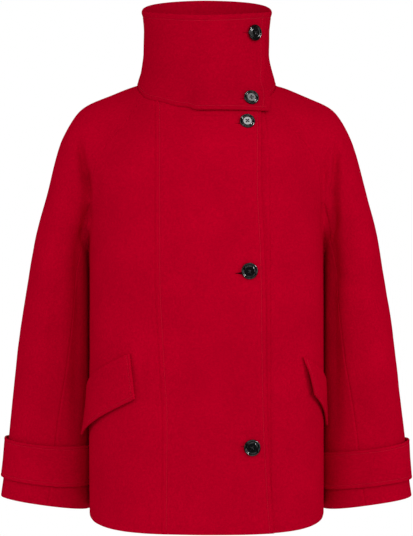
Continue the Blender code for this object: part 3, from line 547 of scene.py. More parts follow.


# %% Listed folds
# a row: where the fold begins and ends, as an angle in degrees from the front (positive on the viewer's
# right) and a height; then its width and its depth in millimetres
BODY_FOLDS = (
    # beside the front seams
    ((-34.2, -.405), (-34.8, -.515), 9, -1.8),
    ((50.5, -.400), (46.5, -.480), 9, -3.2),
    # small pulls round the lowest button
    ((17.0, -.5435), (25.0, -.541), 3, -1.0),
    ((19.0, -.552), (26.0, -.553), 4, .6),
    ((21.0, -.580), (27.0, -.574), 5, -.5),
    ((30.0, -.578), (36.0, -.594), 5, -.5),
    # under the collar's foot
    ((-15.0, -.052), (16.0, -.053), 2.6, -1.1),
    ((-15.5, -.059), (14.0, -.062), 2.4, -1.0),
    ((-15.0, -.067), (8.0, -.071), 2.4, -.9),
    # from the armholes down the fronts
    ((-52, -.200), (-44, -.420), 26, -.8),
    ((55, -.200), (47, -.380), 24, -.7),
    # down the back
    ((150, -.200), (147, -.640), 24, -2.6),
    ((176, -.150), (179, -.620), 26, 2.0),
    ((207, -.230), (211, -.660), 22, -2.4),
    ((128, -.300), (133, -.600), 20, 1.8),
    ((232, -.280), (229, -.620), 22, 1.8),
    # from the pocket flaps to the hem
    ((-62, -.520), (-58, -.660), 22, -1.4),
    ((60, -.560), (57, -.670), 20, -1.2),
    # across the back under the collar
    ((160, -.050), (200, -.055), 9, -1.2),
)
# a row: the side (1 for the viewer's right), then the same with a station down the sleeve and an angle in
# its section (0 outer side, 90 front, 180 inner side)
SLEEVE_FOLDS = (
    # the deep crease between sleeve and body, from the shoulder down
    (1, (.238, 54), (.305, 99), 6.5, -10.5),
    (1, (.285, 89), (.400, 128), 7.5, -11.0),
    (1, (.225, 82), (.275, 108), 6.5, -7.5),
    (1, (.265, 105), (.360, 134), 6.5, -8.5),
    (-1, (.229, 55), (.258, 97), 6, -9.0),
    (-1, (.245, 83), (.275, 109), 6, -11.0),
    (-1, (.258, 99), (.345, 130), 6, -10.5),
    (-1, (.250, 80), (.330, 118), 11, -1.5),
    (-1, (.300, 116), (.450, 146), 7, -6.0),
    # its end under the arm, and on down the inner sleeve
    (1, (.400, 128), (.640, 134), 12, -5.5),
    (1, (.450, 154), (.900, 156), 9, 3.0),
    (-1, (.450, 154), (.900, 156), 9, 3.0),
    (-1, (.400, 126), (.640, 132), 11, -5.0),
    (1, (.580, 132), (.890, 130), 12, -4.5),
    (-1, (.580, 130), (.890, 128), 12, -4.5),
    # over the front of the shoulder
    (-1, (.244, 38), (.240, 108), 9, -3.4),
    (1, (.210, 50), (.244, 108), 9, -2.6),
    (1, (.247, 58), (.302, 94), 8, -1.2),
    (1, (.262, 22), (.400, 80), 7, 1.3),
    (1, (.340, 62), (.550, 100), 8, 1.0),
    # down the front of the sleeve
    (-1, (.575, 88), (.715, 100), 10, -1.2),
    (1, (.800, 66), (.890, 28), 10, -1.8),
    (-1, (.820, 58), (.885, 84), 9, -.8),
    # across the elbow
    (1, (.500, 150), (.560, 96), 10, -1.3),
    (-1, (.500, 150), (.560, 92), 12, -1.2),
    (1, (.660, 70), (.700, 20), 14, -.8),
    (-1, (.640, 100), (.680, 40), 14, .7),
    # across the back of the elbow
    (1, (.460, -60), (.500, -140), 9, -3.0),
    (-1, (.440, -70), (.480, -150), 10, -2.8),
    (1, (.520, -40), (.560, -130), 9, 2.2),
    (-1, (.540, -45), (.570, -140), 10, 2.2),
    (1, (.700, -70), (.730, -130), 12, -1.6),
    (-1, (.720, -60), (.760, -120), 12, -1.8),
)
FOLD_SAMPLES = 28


def fold_line(place, first, last, width, depth):
    """One fold: points on the face between two places, with its width and depth in metres."""
    t = np.linspace(0, 1, FOLD_SAMPLES)
    return place(*(a + (b - a) * t for a, b in zip(first, last))), width * MM, depth * MM


def body_place(angle, height):
    """Point of the coat's face at an angle in degrees and a height."""
    return coat_point(np.radians(angle), height)


def sleeve_side_place(side):
    """The same for stations and angles in degrees on one sleeve."""
    return lambda station, angle: on_side(onto(coat_field, sleeve_point(station, np.radians(angle))), side)


FOLDS = [fold_line(body_place, *row) for row in BODY_FOLDS]
FOLDS += [fold_line(sleeve_side_place(side), *row) for side, *row in SLEEVE_FOLDS]
TAPER = np.sin(np.pi * (np.arange(FOLD_SAMPLES) + 0.5) / FOLD_SAMPLES) ** 0.8


def fold_relief(p, folds):
    """Sum over the folds of depth times the greatest of taper * e^-(distance / width)^2 along the fold."""
    total = np.zeros(p.shape[:-1])
    for line, width, depth in folds:
        reach = 3 * width
        near = ((p > line.min(0) - reach) & (p < line.max(0) + reach)).all(-1)
        if near.any():
            distance = np.linalg.norm(p[near][:, None] - line[None], axis=-1)
            total[near] += depth * (TAPER * np.exp(-(distance / width) ** 2)).max(-1)
    return total


# %% Slow unevenness
WAVES = 22
rng = np.random.default_rng(7)
WAVE_WAY = unit(rng.normal(size=(WAVES, 3)))
WAVE_LENGTH = np.exp(rng.uniform(np.log(0.022), np.log(0.170), WAVES))
WAVE_PHASE = rng.uniform(0, 2 * np.pi, WAVES)
UNEVEN = 0.0016          # height of a wave as a share of its length
UNEVEN_MOST = 0.14 * MM
GAP_ROOM = (1.5 * MM, 9 * MM)     # gaps between body and sleeve over which relief comes in
ROOM_ABOVE = (-0.24, -0.20)       # heights over which it comes in anyway, as they are sewn to each other


def unevenness(p):
    """Sum of sine waves in fixed random directions, longer ones higher."""
    total = np.zeros(p.shape[:-1])
    for way, length, phase in zip(WAVE_WAY, WAVE_LENGTH, WAVE_PHASE):
        total += np.minimum(UNEVEN * length, UNEVEN_MOST) * np.sin(2 * np.pi * (p @ way) / length + phase)
    return total


def room_between(p):
    """1 in the open and 0 where body and sleeve nearly touch, so relief pushes neither into the other."""
    torso, sleeve = both_fields(p)
    gap = np.maximum(np.abs(torso), np.abs(sleeve))
    return np.maximum(ease(gap, *GAP_ROOM), ease(p[..., 2], *ROOM_ABOVE))


print("folds:", len(FOLDS), "waves:", WAVES)

# %% [markdown]
# ## From a surface to a piece of cloth
# A sheet of cloth could be one layer with a Solidify modifier. Here the two faces differ at folded edges,
# so both are worked out and joined by their rims into one closed shell. Every piece also works out how
# large it was cut: the length of its longest row and column, and the area of its outer face.

# %% Shells
CLOTH, DOUBLED = 2.5 * MM, 3.6 * MM
LAP_GAP = 0.6 * MM
SHARP = math.radians(50)
STITCHES_STOP = 2.5 * MM  # how far from the next edge a row of stitches ends
THINNEST = 0.05 * MM      # what relief leaves of the cloth's thickness at least
threads = []              # rows of stitches: points on the face and the direction out


def shell_mesh(name, outer, inner, closed=False):
    """A closed mesh from two grids: both faces and their rims; `closed` joins last column to first."""
    rows, columns = outer.shape[:2]
    place = np.arange(rows * columns).reshape(rows, columns)
    if closed:
        place = np.concatenate([place, place[:, :1]], axis=1)
    back = place + rows * columns
    quads = [np.stack([place[:-1, :-1], place[1:, :-1], place[1:, 1:], place[:-1, 1:]], -1).reshape(-1, 4),
             np.stack([back[:-1, :-1], back[:-1, 1:], back[1:, 1:], back[1:, :-1]], -1).reshape(-1, 4)]
    rims = [(place[0], back[0]), (back[-1], place[-1])]
    if not closed:
        rims += [(back[:, 0], place[:, 0]), (place[:, -1], back[:, -1])]
    quads += [np.stack([near[:-1], near[1:], far[1:], far[:-1]], -1) for near, far in rims]
    return mesh_from(name, np.concatenate([outer.reshape(-1, 3), inner.reshape(-1, 3)]), *quads)


def ring_quads(rings, sides):
    """Faces between neighbouring rings of points, each closed on itself."""
    index = np.arange(rings * sides).reshape(rings, sides)
    after = np.roll(index, -1, axis=1)
    return np.stack([index[:-1], index[1:], after[1:], after[:-1]], -1).reshape(-1, 4)


def mesh_from(name, points, *face_sets):
    """A mesh whose coincident points are merged, whose faces point outwards and which is shaded smooth."""
    mesh = bpy.data.meshes.new(name)
    mesh.from_pydata(points.tolist(), [], [face for faces in face_sets for face in faces.tolist()])
    shape = bmesh.new()
    shape.from_mesh(mesh)
    bmesh.ops.remove_doubles(shape, verts=shape.verts, dist=1e-6)
    bmesh.ops.recalc_face_normals(shape, faces=shape.faces)
    if shape.calc_volume(signed=True) < 0:
        bmesh.ops.reverse_faces(shape, faces=shape.faces)
    shape.to_mesh(mesh)
    shape.free()
    mesh.shade_smooth()
    mesh.set_sharp_from_angle(angle=SHARP)
    return mesh


def piece(name, mesh, material, nodes=()):
    """A named object that rides on the coat, carries its material and hides the CAD nodes it stands in for.
    """
    mesh.materials.append(material)
    thing = bpy.data.objects.new(name, mesh)
    bpy.context.scene.collection.objects.link(thing)
    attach(thing, "root")
    if nodes:
        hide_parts(*nodes)
    return thing


def face_area(grid):
    """Area of a grid of points: half the cross product of each cell's diagonals."""
    cross = np.cross(grid[1:, 1:] - grid[:-1, :-1], grid[1:, :-1] - grid[:-1, 1:])
    return 0.5 * np.linalg.norm(cross, axis=-1).sum()


def cloth(name, cad, grid, out, away, edges, size, material, thickness=CLOTH, lift=0.0,
          closed=False, folds=FOLDS):
    """One cut piece: both faces with their relief, the shell, its rows of stitches and its cut size."""
    soft = (fold_relief(grid, folds) + unevenness(grid)) * room_between(grid)
    upper = lift + soft
    lower = upper - thickness
    for side, (fold, stitch) in edges.items():
        upper = upper + edge_relief(fold, stitch, away[side], thickness)
        lower = lower + fold * quarter_round(away[side], thickness)
    upper = np.maximum(upper, lower + THINNEST * (upper > lower))
    outer, inner = grid + out * upper[..., None], grid + out * lower[..., None]
    thing = piece(name, shell_mesh(name, outer, inner, closed), material, (cad,))
    width, length = (float(x) for x in size)
    area = min(float(face_area(outer)), width * length)
    for side, (fold, stitch) in edges.items():
        if stitch:
            threads.append(stitch_line(side, stitch, outer, out, away))
    print("%-20s %5.0f x %4.0f mm, %6d faces" % (name, width / MM, length / MM, len(thing.data.polygons)))


def stitch_line(side, stitch, outer, out, away):
    """The row or column of the grid that lies at the stitch distance, cut short of the other edges."""
    line = int(np.argmin(np.abs(away[side] - stitch).mean(1 if side in ("top", "bottom") else 0)))
    pick = (line, slice(None)) if side in ("top", "bottom") else (slice(None), line)
    ends = ("left", "right") if side in ("top", "bottom") else ("top", "bottom")
    if not set(ends) & set(away):
        return [np.concatenate([value[pick], value[pick][:1]]) for value in (outer, out)]
    clear = np.all([away[end][pick] > STITCHES_STOP for end in ends], axis=0)
    return outer[pick][clear], out[pick][clear]


# %% [markdown]
# ## Red wool
# The cloth is melton: wool woven, then milled until the weave closes and felts over. It has no thread
# lines, only a short nap with clumps of a few millimetres and single fibres between them, and it hardly
# shines: what light it throws back at a grazing angle comes from the nap, so the shader has sheen and
# almost no specular. The nap's fibres are far finer than a pixel here, so their noise is about 1 mm wide.

# %% Colours and nodes


def linear(hex_colour):
    """A hex sRGB colour as linear numbers: c/12.92 below 0.04045, else ((c+0.055)/1.055)^2.4."""
    parts = [int(hex_colour[i:i + 2], 16) / 255 for i in (1, 3, 5)]
    return tuple(c / 12.92 if c <= 0.04045 else ((c + 0.055) / 1.055) ** 2.4 for c in parts) + (1.0,)


def deeper(hex_colour, depth):
    """A colour with its linear numbers times `depth`."""
    return tuple(c * depth for c in linear(hex_colour)[:3]) + (1.0,)


def set_inputs(made, **values):
    """Sets a node's inputs, named with underscores for spaces."""
    for name, value in values.items():
        made.inputs[name.replace("_", " ")].default_value = value


def node(tree, kind, settings=None, links=None, **values):
    """Adds a node with its properties (`settings`), sockets that feed it (`links`) and input `values`."""
    made = tree.nodes.new(kind)
    for name, value in (settings or {}).items():
        setattr(made, name, value)
    set_inputs(made, **values)
    for name, socket in (links or {}).items():
        tree.links.new(socket, made.inputs[name])
    return made


def new_material(name):
    """A material with its Principled shader and the Object coordinates."""
    material = bpy.data.materials.new(name)
    material.use_nodes = True
    tree = material.node_tree
    return material, tree, tree.nodes["Principled BSDF"], node(tree, "ShaderNodeTexCoord").outputs["Object"]


def plain_material(name, colour, roughness, specular=0.5):
    """A material of one colour, for what is too small or too plain to show more."""
    material, _, shader, _ = new_material(name)
    set_inputs(shader, Base_Color=linear(colour), Roughness=roughness, Specular_IOR_Level=specular)
    return material


# %% Milled wool
WOOL_DEEP, WOOL_RED, WOOL_BRIGHT, NAP_RED = "#A1001D", "#AE0020", "#BC0024", "#FF0030"
CLUMP, FIBRE, PATCH = 3.2 * MM, 1.2 * MM, 60 * MM
PATCHY = 0.35            # weight of the largest scale against the others
MOTTLE_SPREAD = 0.3      # how far the scales' sum goes either way from its middle, from deep to bright red


def wool_material(name, depth=1.0):
    """Red mottled at three scales, with a felted bump; `depth` darkens it, which paints shade on the
    collar's copy.
    """
    material, tree, shader, place = new_material(name)
    heights = [node(tree, "ShaderNodeTexNoise", links={"Vector": place},
                    Scale=1 / size, Detail=detail, Roughness=0.6)
               for size, detail in ((CLUMP, 3.0), (FIBRE, 2.0), (PATCH, 1.0))]
    clump, fibre, patches = (made.outputs["Fac"] for made in heights)
    nap = node(tree, "ShaderNodeMath", {"operation": "ADD"}, {0: clump, 1: fibre}).outputs[0]
    mottle = node(tree, "ShaderNodeMath", {"operation": "MULTIPLY_ADD"}, {0: patches, 2: nap})
    mottle.inputs[1].default_value = PATCHY
    middle = 1 + PATCHY / 2
    share = node(tree, "ShaderNodeMapRange", links={"Value": mottle.outputs[0]},
                 From_Min=middle - MOTTLE_SPREAD, From_Max=middle + MOTTLE_SPREAD)
    colour = node(tree, "ShaderNodeValToRGB", links={"Fac": share.outputs["Result"]})
    stops = colour.color_ramp.elements
    stops[0].color, stops[1].color = deeper(WOOL_DEEP, depth), deeper(WOOL_BRIGHT, depth)
    stops.new(0.5).color = deeper(WOOL_RED, depth)
    tree.links.new(colour.outputs["Color"], shader.inputs["Base Color"])
    bump = node(tree, "ShaderNodeBump", links={"Height": nap}, Strength=0.35, Distance=0.5 * MM)
    tree.links.new(bump.outputs["Normal"], shader.inputs["Normal"])
    set_inputs(shader, Roughness=1.0, Specular_IOR_Level=0.0)
    set_inputs(shader, Sheen_Weight=0.10, Sheen_Roughness=0.5, Sheen_Tint=linear(NAP_RED))
    return material


COLLAR_PAINTED_SHADE = 0.91            # the collar's wool at this share of the brightness: painted shade, as the collar lies in less light than the chest
wool = wool_material("milled_red_wool")
collar_wool_painted_shade = wool_material("milled_red_wool_painted_shade", COLLAR_PAINTED_SHADE)

# %% [markdown]
# ## Fronts
# The wearer's right front laps over the left one. It is lifted by one layer of cloth where it lies on it,
# over a few centimetres, which is what makes the closing edge stand up from the cloth beside it. Its free
# edge and the long seam are topstitched 6 to 7 mm in, as the photograph shows.

# %% Right front, left front and side fronts
LAP_RISES = (-0.055, 0.005)       # places across the front over which the lift comes up
SEAM_STITCH, EDGE_STITCH = 7.2 * MM, 6.2 * MM    # how far in the stitches run at the seam and the free edge


def lap_lift(points):
    """How far the right front is lifted to lie over the left front."""
    return (CLOTH + LAP_GAP) * ease(points[..., 0], *LAP_RISES)


def angle_of(point):
    """Angle of a point round the torso."""
    return math.atan2(point[0], -point[1])


def make_front(name, cad, left, right, edges, step, reach=None, lifted=False, side=1):
    """A piece of the front between two upright lines; `side` -1 mirrors it to the wearer's right."""
    top = neck_line(angle_of(left[0]), angle_of(right[0]))
    bottom = hem_line(angle_of(left[-1]), angle_of(right[-1]))
    surface = patch(top, bottom, left.copy(), right.copy(), torso_chart, torso_place)
    grid, away, size = laid(surface, edges, step, reach)
    grid, out = on_side(grid, side), on_side(outward(torso_field, grid), side)
    lift = lap_lift(grid) if lifted else 0.0
    cloth(name, cad, grid, out, away, edges, size, wool, lift=lift)


right_seam, left_seam = upright(RIGHT_SEAM, -1), upright(LEFT_SEAM, 1)
lap_edge, under_edge = upright(LAP_EDGE, 1), upright(UNDER_EDGE, 1)
body_front = even(join(front_high, front_low, side_seam), SEAM_SAMPLES, by_height=True)
make_front("right_front", "front_panel_right", right_seam, lap_edge,
           {**HEMMED, "left": (SEAM, SEAM_STITCH), "right": (FOLD, EDGE_STITCH)},
           3.2 * MM, {"top": 40 * MM}, lifted=True)
make_front("left_front", "front_panel_left", under_edge, left_seam,
           {**HEMMED, "left": (FOLD, None)}, 4.5 * MM)
for side, word, line in ((-1, "right", on_side(right_seam, -1)), (1, "left", left_seam)):
    make_front(word + "_side_front", "side_front_" + word, line, body_front,
               HEMMED, 3.5 * MM, {"right": 12 * MM}, side=side)

# %% [markdown]
# ## Back and sleeves
# The photograph shows none of the back, so it is one plain piece with the soft folds that such a coat hangs
# in. Each sleeve is an upper piece, which runs over the shoulder to the neck, and an under piece.

# %% Back
back_left = even(join(back_high, back_low, side_seam), SEAM_SAMPLES, by_height=True)
turn = angle_of(back_left[0])
back_surface = patch(neck_line(turn, 2 * math.pi - turn), hem_line(math.pi / 2, 3 * math.pi / 2),
                     back_left, on_side(back_left, -1), unrolled(torso_chart, 0), torso_place)
grid, away, size = laid(back_surface, HEMMED, 5.0 * MM)
cloth("coat_back", "back_panel", grid, outward(torso_field, grid), away, HEMMED, size, wool)

# %% Sleeves
SIDES = {"left": 1, "right": -1}     # the wearer's left is the viewer's right, at positive X


def sleeve_side(high, down):
    """An upper sleeve's edge: the armhole takes its share of the samples, the sleeve's seam the rest."""
    count = int(round(RAGLAN_SHARE * SEAM_SAMPLES))
    return join(even(high, count), even(down, SEAM_SAMPLES - count + 1))


def sleeve_end(first, last):
    """Points along the sleeve end between two angles."""
    return sleeve_point(np.ones(SEAM_SAMPLES), np.linspace(first, last, SEAM_SAMPLES))


front_edge, back_edge = sleeve_side(front_high, sleeve_front), sleeve_side(back_high, sleeve_back)
end_front, end_back = sleeve_chart(front_edge[-1])[1], sleeve_chart(back_edge[-1])[1]
upper_top = neck_line(angle_of(front_edge[0]), angle_of(back_edge[0]))
upper_surface = patch(upper_top, sleeve_end(end_front, end_back), front_edge.copy(), back_edge.copy(),
                      sleeve_chart, sleeve_place)
under_top = even(join(back_low, front_low[::-1]), SEAM_SAMPLES)
under_surface = patch(under_top, sleeve_end(end_back + 2 * math.pi, end_front),
                      even(sleeve_back, SEAM_SAMPLES), even(sleeve_front, SEAM_SAMPLES),
                      unrolled(sleeve_chart, 1), sleeve_place)
for kind, cad, surface, step in (("upper", "top_sleeve_", upper_surface, 3.8 * MM),
                                 ("under", "under_sleeve_", under_surface, 4.0 * MM)):
    grid, away, size = laid(surface, HEMMED, step)
    out = outward(sleeve_field, grid)
    for word, side in SIDES.items():
        cloth("%s_%s_sleeve" % (word, kind), cad + word, on_side(grid, side), on_side(out, side), away,
              HEMMED, size, wool)

# %% [markdown]
# ## Cuff bands
# A doubled band goes round each lower sleeve and is stitched along both edges. Its upper outer corner
# stands off the sleeve a little.

# %% Bands
CUFF_STATIONS = (0.897, 0.9636)   # of its upper and its lower edge
CUFF_STAND, CUFF_CORNER = 1.2 * MM, 2.0 * MM     # off the sleeve all round, and more at that corner
CUFF_OUTSIDE = (0.2, 1.0)         # cosines of the section's angle over which the corner comes to stand off
CUFF_STITCH = 5.6 * MM
CUFF_AROUND = 150
# how far each band's edges lie further down, in stations, at its outer side, front and inner side
CUFF_SHIFT = {"right": ((-.0040, .0000, -.0050), (.0020, .0040, -.0020)),
              "left":  ((.0000, .0070, .0110), (.0060, .0060, .0050))}
CUFF_DEEP = 0.0585                # its height, for the spacing of the rows
beside_edge = near_edge(CUFF_STITCH)
a, b = spacing(beside_edge, beside_edge, CUFF_DEEP, 3.5 * MM)
down = (a + b / CUFF_DEEP)[:, None]
around = np.linspace(0, 2 * math.pi, CUFF_AROUND, endpoint=False)[None, :]
band_edges = {"top": (FOLD, CUFF_STITCH), "bottom": (FOLD, CUFF_STITCH)}
parts = (np.clip(np.cos(around), 0, 1) ** 2, np.sin(around) ** 2, np.clip(-np.cos(around), 0, 1) ** 2)
for word, side in SIDES.items():
    top, bottom = (edge + sum(part * shift for part, shift in zip(parts, shifts))
                   for edge, shifts in zip(CUFF_STATIONS, CUFF_SHIFT[word]))
    band = sleeve_point(top + (bottom - top) * down, around + 0 * down)
    band_out = unit(slope_of(sleeve_field, band, sleeve_field(band)))
    corner = CUFF_CORNER * ease(np.cos(around), *CUFF_OUTSIDE) * (1 - down) ** 1.5
    height = np.linalg.norm(band[-1] - band[0], axis=-1)[None, :]
    band_away = {"top": down * height, "bottom": (1 - down) * height}
    ring = np.concatenate([band, band[:, :1]], axis=1)
    band_size = (np.linalg.norm(np.diff(ring, axis=1), axis=-1).sum(1).max(), float(height.max()))
    cloth(word + "_cuff_band", "cuff_band_" + word, on_side(band, side), on_side(band_out, side),
          band_away, band_edges, band_size, wool, DOUBLED, CUFF_STAND + DOUBLED + corner,
          closed=True)

# %% [markdown]
# ## Pocket flaps
# Each flap is sewn along its slanted upper edge, hangs free below, and is stitched 5 mm inside its free
# edges. The right one's lower back corner and the left one's front edge stand off the coat, which gives the
# dark lines beside them.

# %% Flaps
# a row: front corners above and below, then back corners above and below, as an angle in degrees and a
# height; then how far the lower back corner and the front edge stand off
FLAPS = {
    "right": ((40.5, -.4175), (37.6, -.4880), (77.0, -.4725), (77.0, -.5515), 8.0 * MM, 1.0 * MM),
    "left":  ((51.0, -.4240), (56.0, -.4840), (80.0, -.4700), (80.0, -.5370), 0.5 * MM, 5.0 * MM),
}
FLAP_SEWN, FLAP_HANGS = 0.9 * MM, 2.4 * MM   # off the coat at its sewn edge and at its free one
FLAP_OPENS = (0.0, 0.5)           # shares of the height over which the front edge comes to stand off
FLAP_STITCH = 5.4 * MM            # how far in the stitches run


def flap_surface(*corners):
    """Angle and height blended between the flap's four corners, put onto the coat's face."""
    front_top, front_low, back_top, back_low = np.array(corners)

    def surface(u, v):
        u, v = u[..., None], v[..., None]
        chart = (1 - v) * ((1 - u) * front_top + u * back_top) + v * ((1 - u) * front_low + u * back_low)
        return body_place(chart[..., 0], chart[..., 1])
    return surface


flap_edges = {"left": (FOLD, FLAP_STITCH), "right": (FOLD, FLAP_STITCH), "top": (FOLD, None),
              "bottom": (FOLD, FLAP_STITCH)}
for word, (*corners, tip_lift, front_lift) in FLAPS.items():
    side = SIDES[word]
    grid, away, size = laid(flap_surface(*corners), flap_edges, 3.0 * MM)
    out = unit(slope_of(torso_field, grid, torso_field(grid)))
    v = away["top"] / (away["top"] + away["bottom"])
    u = away["left"] / (away["left"] + away["right"])
    lift = DOUBLED + FLAP_SEWN + (FLAP_HANGS - FLAP_SEWN) * v + tip_lift * (u * v) ** 2
    lift = lift + front_lift * (1 - u) ** 2 * ease(v, *FLAP_OPENS)
    cloth(word + "_pocket_flap", "pocket_flap_" + word, on_side(grid, side), on_side(out, side),
          away, flap_edges, size, wool, DOUBLED, lift)

# %% [markdown]
# ## Funnel collar
# One doubled strip goes once round the neck and laps over its own start at the front. Its rings are
# superellipses that narrow above the neck seam and open again towards the rim. Towards its free end it
# leaves the neck seam, outwards, and drops to a free lower edge.

# %% The collar's form
COLLAR = {
    "rise":        (0.00, 0.20, 0.45, 0.70, 0.90, 1.00),
    "half_width":  (.1100, .1045, .1005, .1002, .1020, .1045),
    "front_depth": (.0920, .0890, .0870, .0865, .0870, .0880),
    "back_depth":  (.0860, .0810, .0770, .0760, .0770, .0785),
}
RIM_FRONT, RIM_SIDE, RIM_BACK = 0.1050, 0.1225, 0.1508    # heights of the rim
RIM_FLAT = 0.55                   # how level the rim runs across the back
# the angle of the slanted lapped end at each rise
COLLAR_END = {"rise": (0.00, 0.15, 0.30, 0.50, 1.00), "angle": (46.0, 54.0, 60.0, 63.0, 64.0)}
# turns in degrees from the middle front, from the strip's under end, once round, to its lapped end
COLLAR_UNDER_END, COLLAR_LAST = 9.0, 63.0
COLLAR_FRONT_HALF = 270.0         # from here on the front under its foot is the lapped one
COLLAR_LAPS = (325.0, 362.0)      # over which it comes to lie on its own start
COLLAR_LOOSE = (336.0, 349.0)     # over which its foot leaves the neck seam
COLLAR_SLANTS = 340.0             # from here its turns are drawn out to the slanted end
COLLAR_STANDS_OFF = (340.0, 363.0)  # over which the flap comes to clear the lapped front under it
COLLAR_DROPS = (343.0, 355.0)     # over which its foot drops to the free lower edge
COLLAR_FREE_EDGE = -0.0435        # height of that edge
COLLAR_SQUARE = 2.3               # squareness of its rings
COLLAR_SLOPE = 1.7                # level distance for each millimetre off the front, which slopes there
# where the foot is sewn and where it is free: share of the height over which it turns into the ring above
# it, and the power of that turn
COLLAR_SPREAD, COLLAR_TURN = (0.30, 0.34), (2.0, 1.2)


def reach_at(angle, height):
    """Level distance from the middle line to the coat's face, stepping back by the field's value."""
    reach = torso_radius(angle, height)
    for _ in range(2 * ROUNDS):
        reach = reach - coat_field(round_point(reach, angle, height))
    return reach


def collar_face(turn, rise):
    """Point on the collar's outer face, at a turn in degrees and a rise of 0 (foot) to 1 (rim)."""
    lapped, loose, drop = ease(turn, *COLLAR_LAPS), ease(turn, *COLLAR_LOOSE), ease(turn, *COLLAR_DROPS)
    slants = 360 - COLLAR_SLANTS
    squeeze = (slants + smooth(rise, COLLAR_END["rise"], COLLAR_END["angle"])) / (slants + COLLAR_LAST)
    turned = np.where(turn > COLLAR_SLANTS, COLLAR_SLANTS + (turn - COLLAR_SLANTS) * squeeze, turn)
    angle = np.radians(turned)
    around = np.arctan2(np.sin(angle), np.cos(angle))

    # the foot: on the neck seam, or loose on the front below it
    sewn = coat_point(around, neck_height(around))
    normal = unit(slope_of(torso_field, sewn, torso_field(sewn)))
    sewn = sewn + normal * (lap_lift(sewn) * (turn > COLLAR_FRONT_HALF))[..., None]
    stand = DOUBLED + (CLOTH + 2 * LAP_GAP) * COLLAR_SLOPE * ease(turn, *COLLAR_STANDS_OFF)
    foot_reach = np.hypot(sewn[..., 0], sewn[..., 1])
    foot_around = np.arctan2(sewn[..., 0], -sewn[..., 1])
    foot_height = sewn[..., 2] + (COLLAR_FREE_EDGE - sewn[..., 2]) * drop
    foot_reach = foot_reach + (reach_at(around, foot_height) + stand - foot_reach) * loose
    foot_around = foot_around + (around - foot_around) * loose

    # the ring at this rise, between the foot and the rim
    cosine = np.cos(around)
    level = cosine * (1 + RIM_FLAT * (1 + np.minimum(cosine, 0)))
    rim = RIM_SIDE + np.where(cosine > 0, (RIM_FRONT - RIM_SIDE) * cosine, (RIM_SIDE - RIM_BACK) * level)
    height = foot_height + (rim - foot_height) * rise
    wide, front, back = (smooth(rise, COLLAR["rise"], COLLAR[name])
                         for name in ("half_width", "front_depth", "back_depth"))
    deep = np.where(cosine > 0, front, back)
    ring = np.abs(np.sin(around) / wide) ** COLLAR_SQUARE + np.abs(cosine / deep) ** COLLAR_SQUARE
    reach = ring ** (-1 / COLLAR_SQUARE) + (DOUBLED + LAP_GAP) * lapped

    # the foot turns into the ring
    spread, power = (seam + (free - seam) * drop for seam, free in (COLLAR_SPREAD, COLLAR_TURN))
    share = np.clip(1 - rise / spread, 0, 1) ** power
    reach = reach + (foot_reach - reach) * share
    around = around + (foot_around - around) * share
    return round_point(reach, around, height)


# %% The collar's cloth
RIM_STITCH, LOW_STITCH, END_STITCH = 9.0 * MM, 6.4 * MM, 12.0 * MM
COLLAR_FREES = (346.0, 356.0)     # turns over which the sewn foot becomes a free edge
# a row: the same with a turn in degrees and a rise
COLLAR_FOLDS = (
    # a roll above the neck seam, and a trough above that
    ((296, .032), (350, .030), 3.6, .9),
    ((300, .135), (352, .120), 9, -2.2),
    # shallow ones round the neck
    ((318, .440), (356, .360), 12, -.8),
    ((372, .300), (412, .260), 12, -.9),
    ((20, .160), (80, .120), 9, -1.4),
    ((80, .400), (150, .440), 14, -1.2),
    ((150, .300), (250, .260), 14, -1.8),
    ((200, .220), (290, .160), 10, -1.6),
    ((352, .700), (408, .640), 14, -.6),
)


def collar_turn(u):
    """The turn at a share of the strip's length, from its under end (u = 0) to its lapped end."""
    return COLLAR_UNDER_END + (360 + COLLAR_LAST - COLLAR_UNDER_END) * u


def collar_surface(u, v):
    """The strip along its length (u), and from its rim (v = 0) down to its foot."""
    return collar_face(collar_turn(u), 1 - v)


collar_edges = {"left": (FOLD, None), "right": (FOLD, END_STITCH), "top": (FOLD, RIM_STITCH),
                "bottom": (SEAM, LOW_STITCH)}
grid, away, size = laid(collar_surface, collar_edges, 3.0 * MM, {"bottom": 34 * MM})
turn = collar_turn(away["left"] / (away["left"] + away["right"]))
collar_edges["bottom"] = (ease(turn, *COLLAR_FREES), LOW_STITCH)
out = unit(np.cross(np.gradient(grid, axis=0), np.gradient(grid, axis=1)))
out = out * np.sign((out * grid)[..., :2].sum(-1).mean())
# the collar takes the darker copy of the wool, with its shade painted in
cloth("funnel_collar", "collar", grid, out, away, collar_edges, size, collar_wool_painted_shade, DOUBLED, 0.0,
      folds=[fold_line(collar_face, *row) for row in COLLAR_FOLDS])

# %% [markdown]
# ## Rows of stitches
# A machine topstitch is a row of short straight threads, each sunk at both ends. Each stitch is a small
# six-sided spindle of thread, and all of them are one mesh.

# %% Thread
STITCH_PITCH, STITCH_LONG, THREAD = 3.4 * MM, 2.5 * MM, 0.30 * MM
THREAD_PROUD = 0.12 * MM          # how far the thread's middle lies above the groove
# a row: share of the length, and share of the radius there
SPINDLE = ((-0.5, 0.25), (-0.3, 0.9), (0.0, 1.0), (0.3, 0.9), (0.5, 0.25))
SPINDLE_SIDES = 6


def stitches(line, out):
    """Centres, directions and normals of the stitches along one row."""
    run = run_along(line)
    at = np.arange(STITCH_PITCH / 2, run[-1] - STITCH_PITCH / 2, STITCH_PITCH)
    way = unit(read_at(at + 0.5 * STITCH_LONG, run, line) - read_at(at - 0.5 * STITCH_LONG, run, line))
    normal = read_at(at, run, out)
    normal = unit(normal - (normal * way).sum(-1, keepdims=True) * way)
    return read_at(at, run, line) + normal * THREAD_PROUD, way, normal


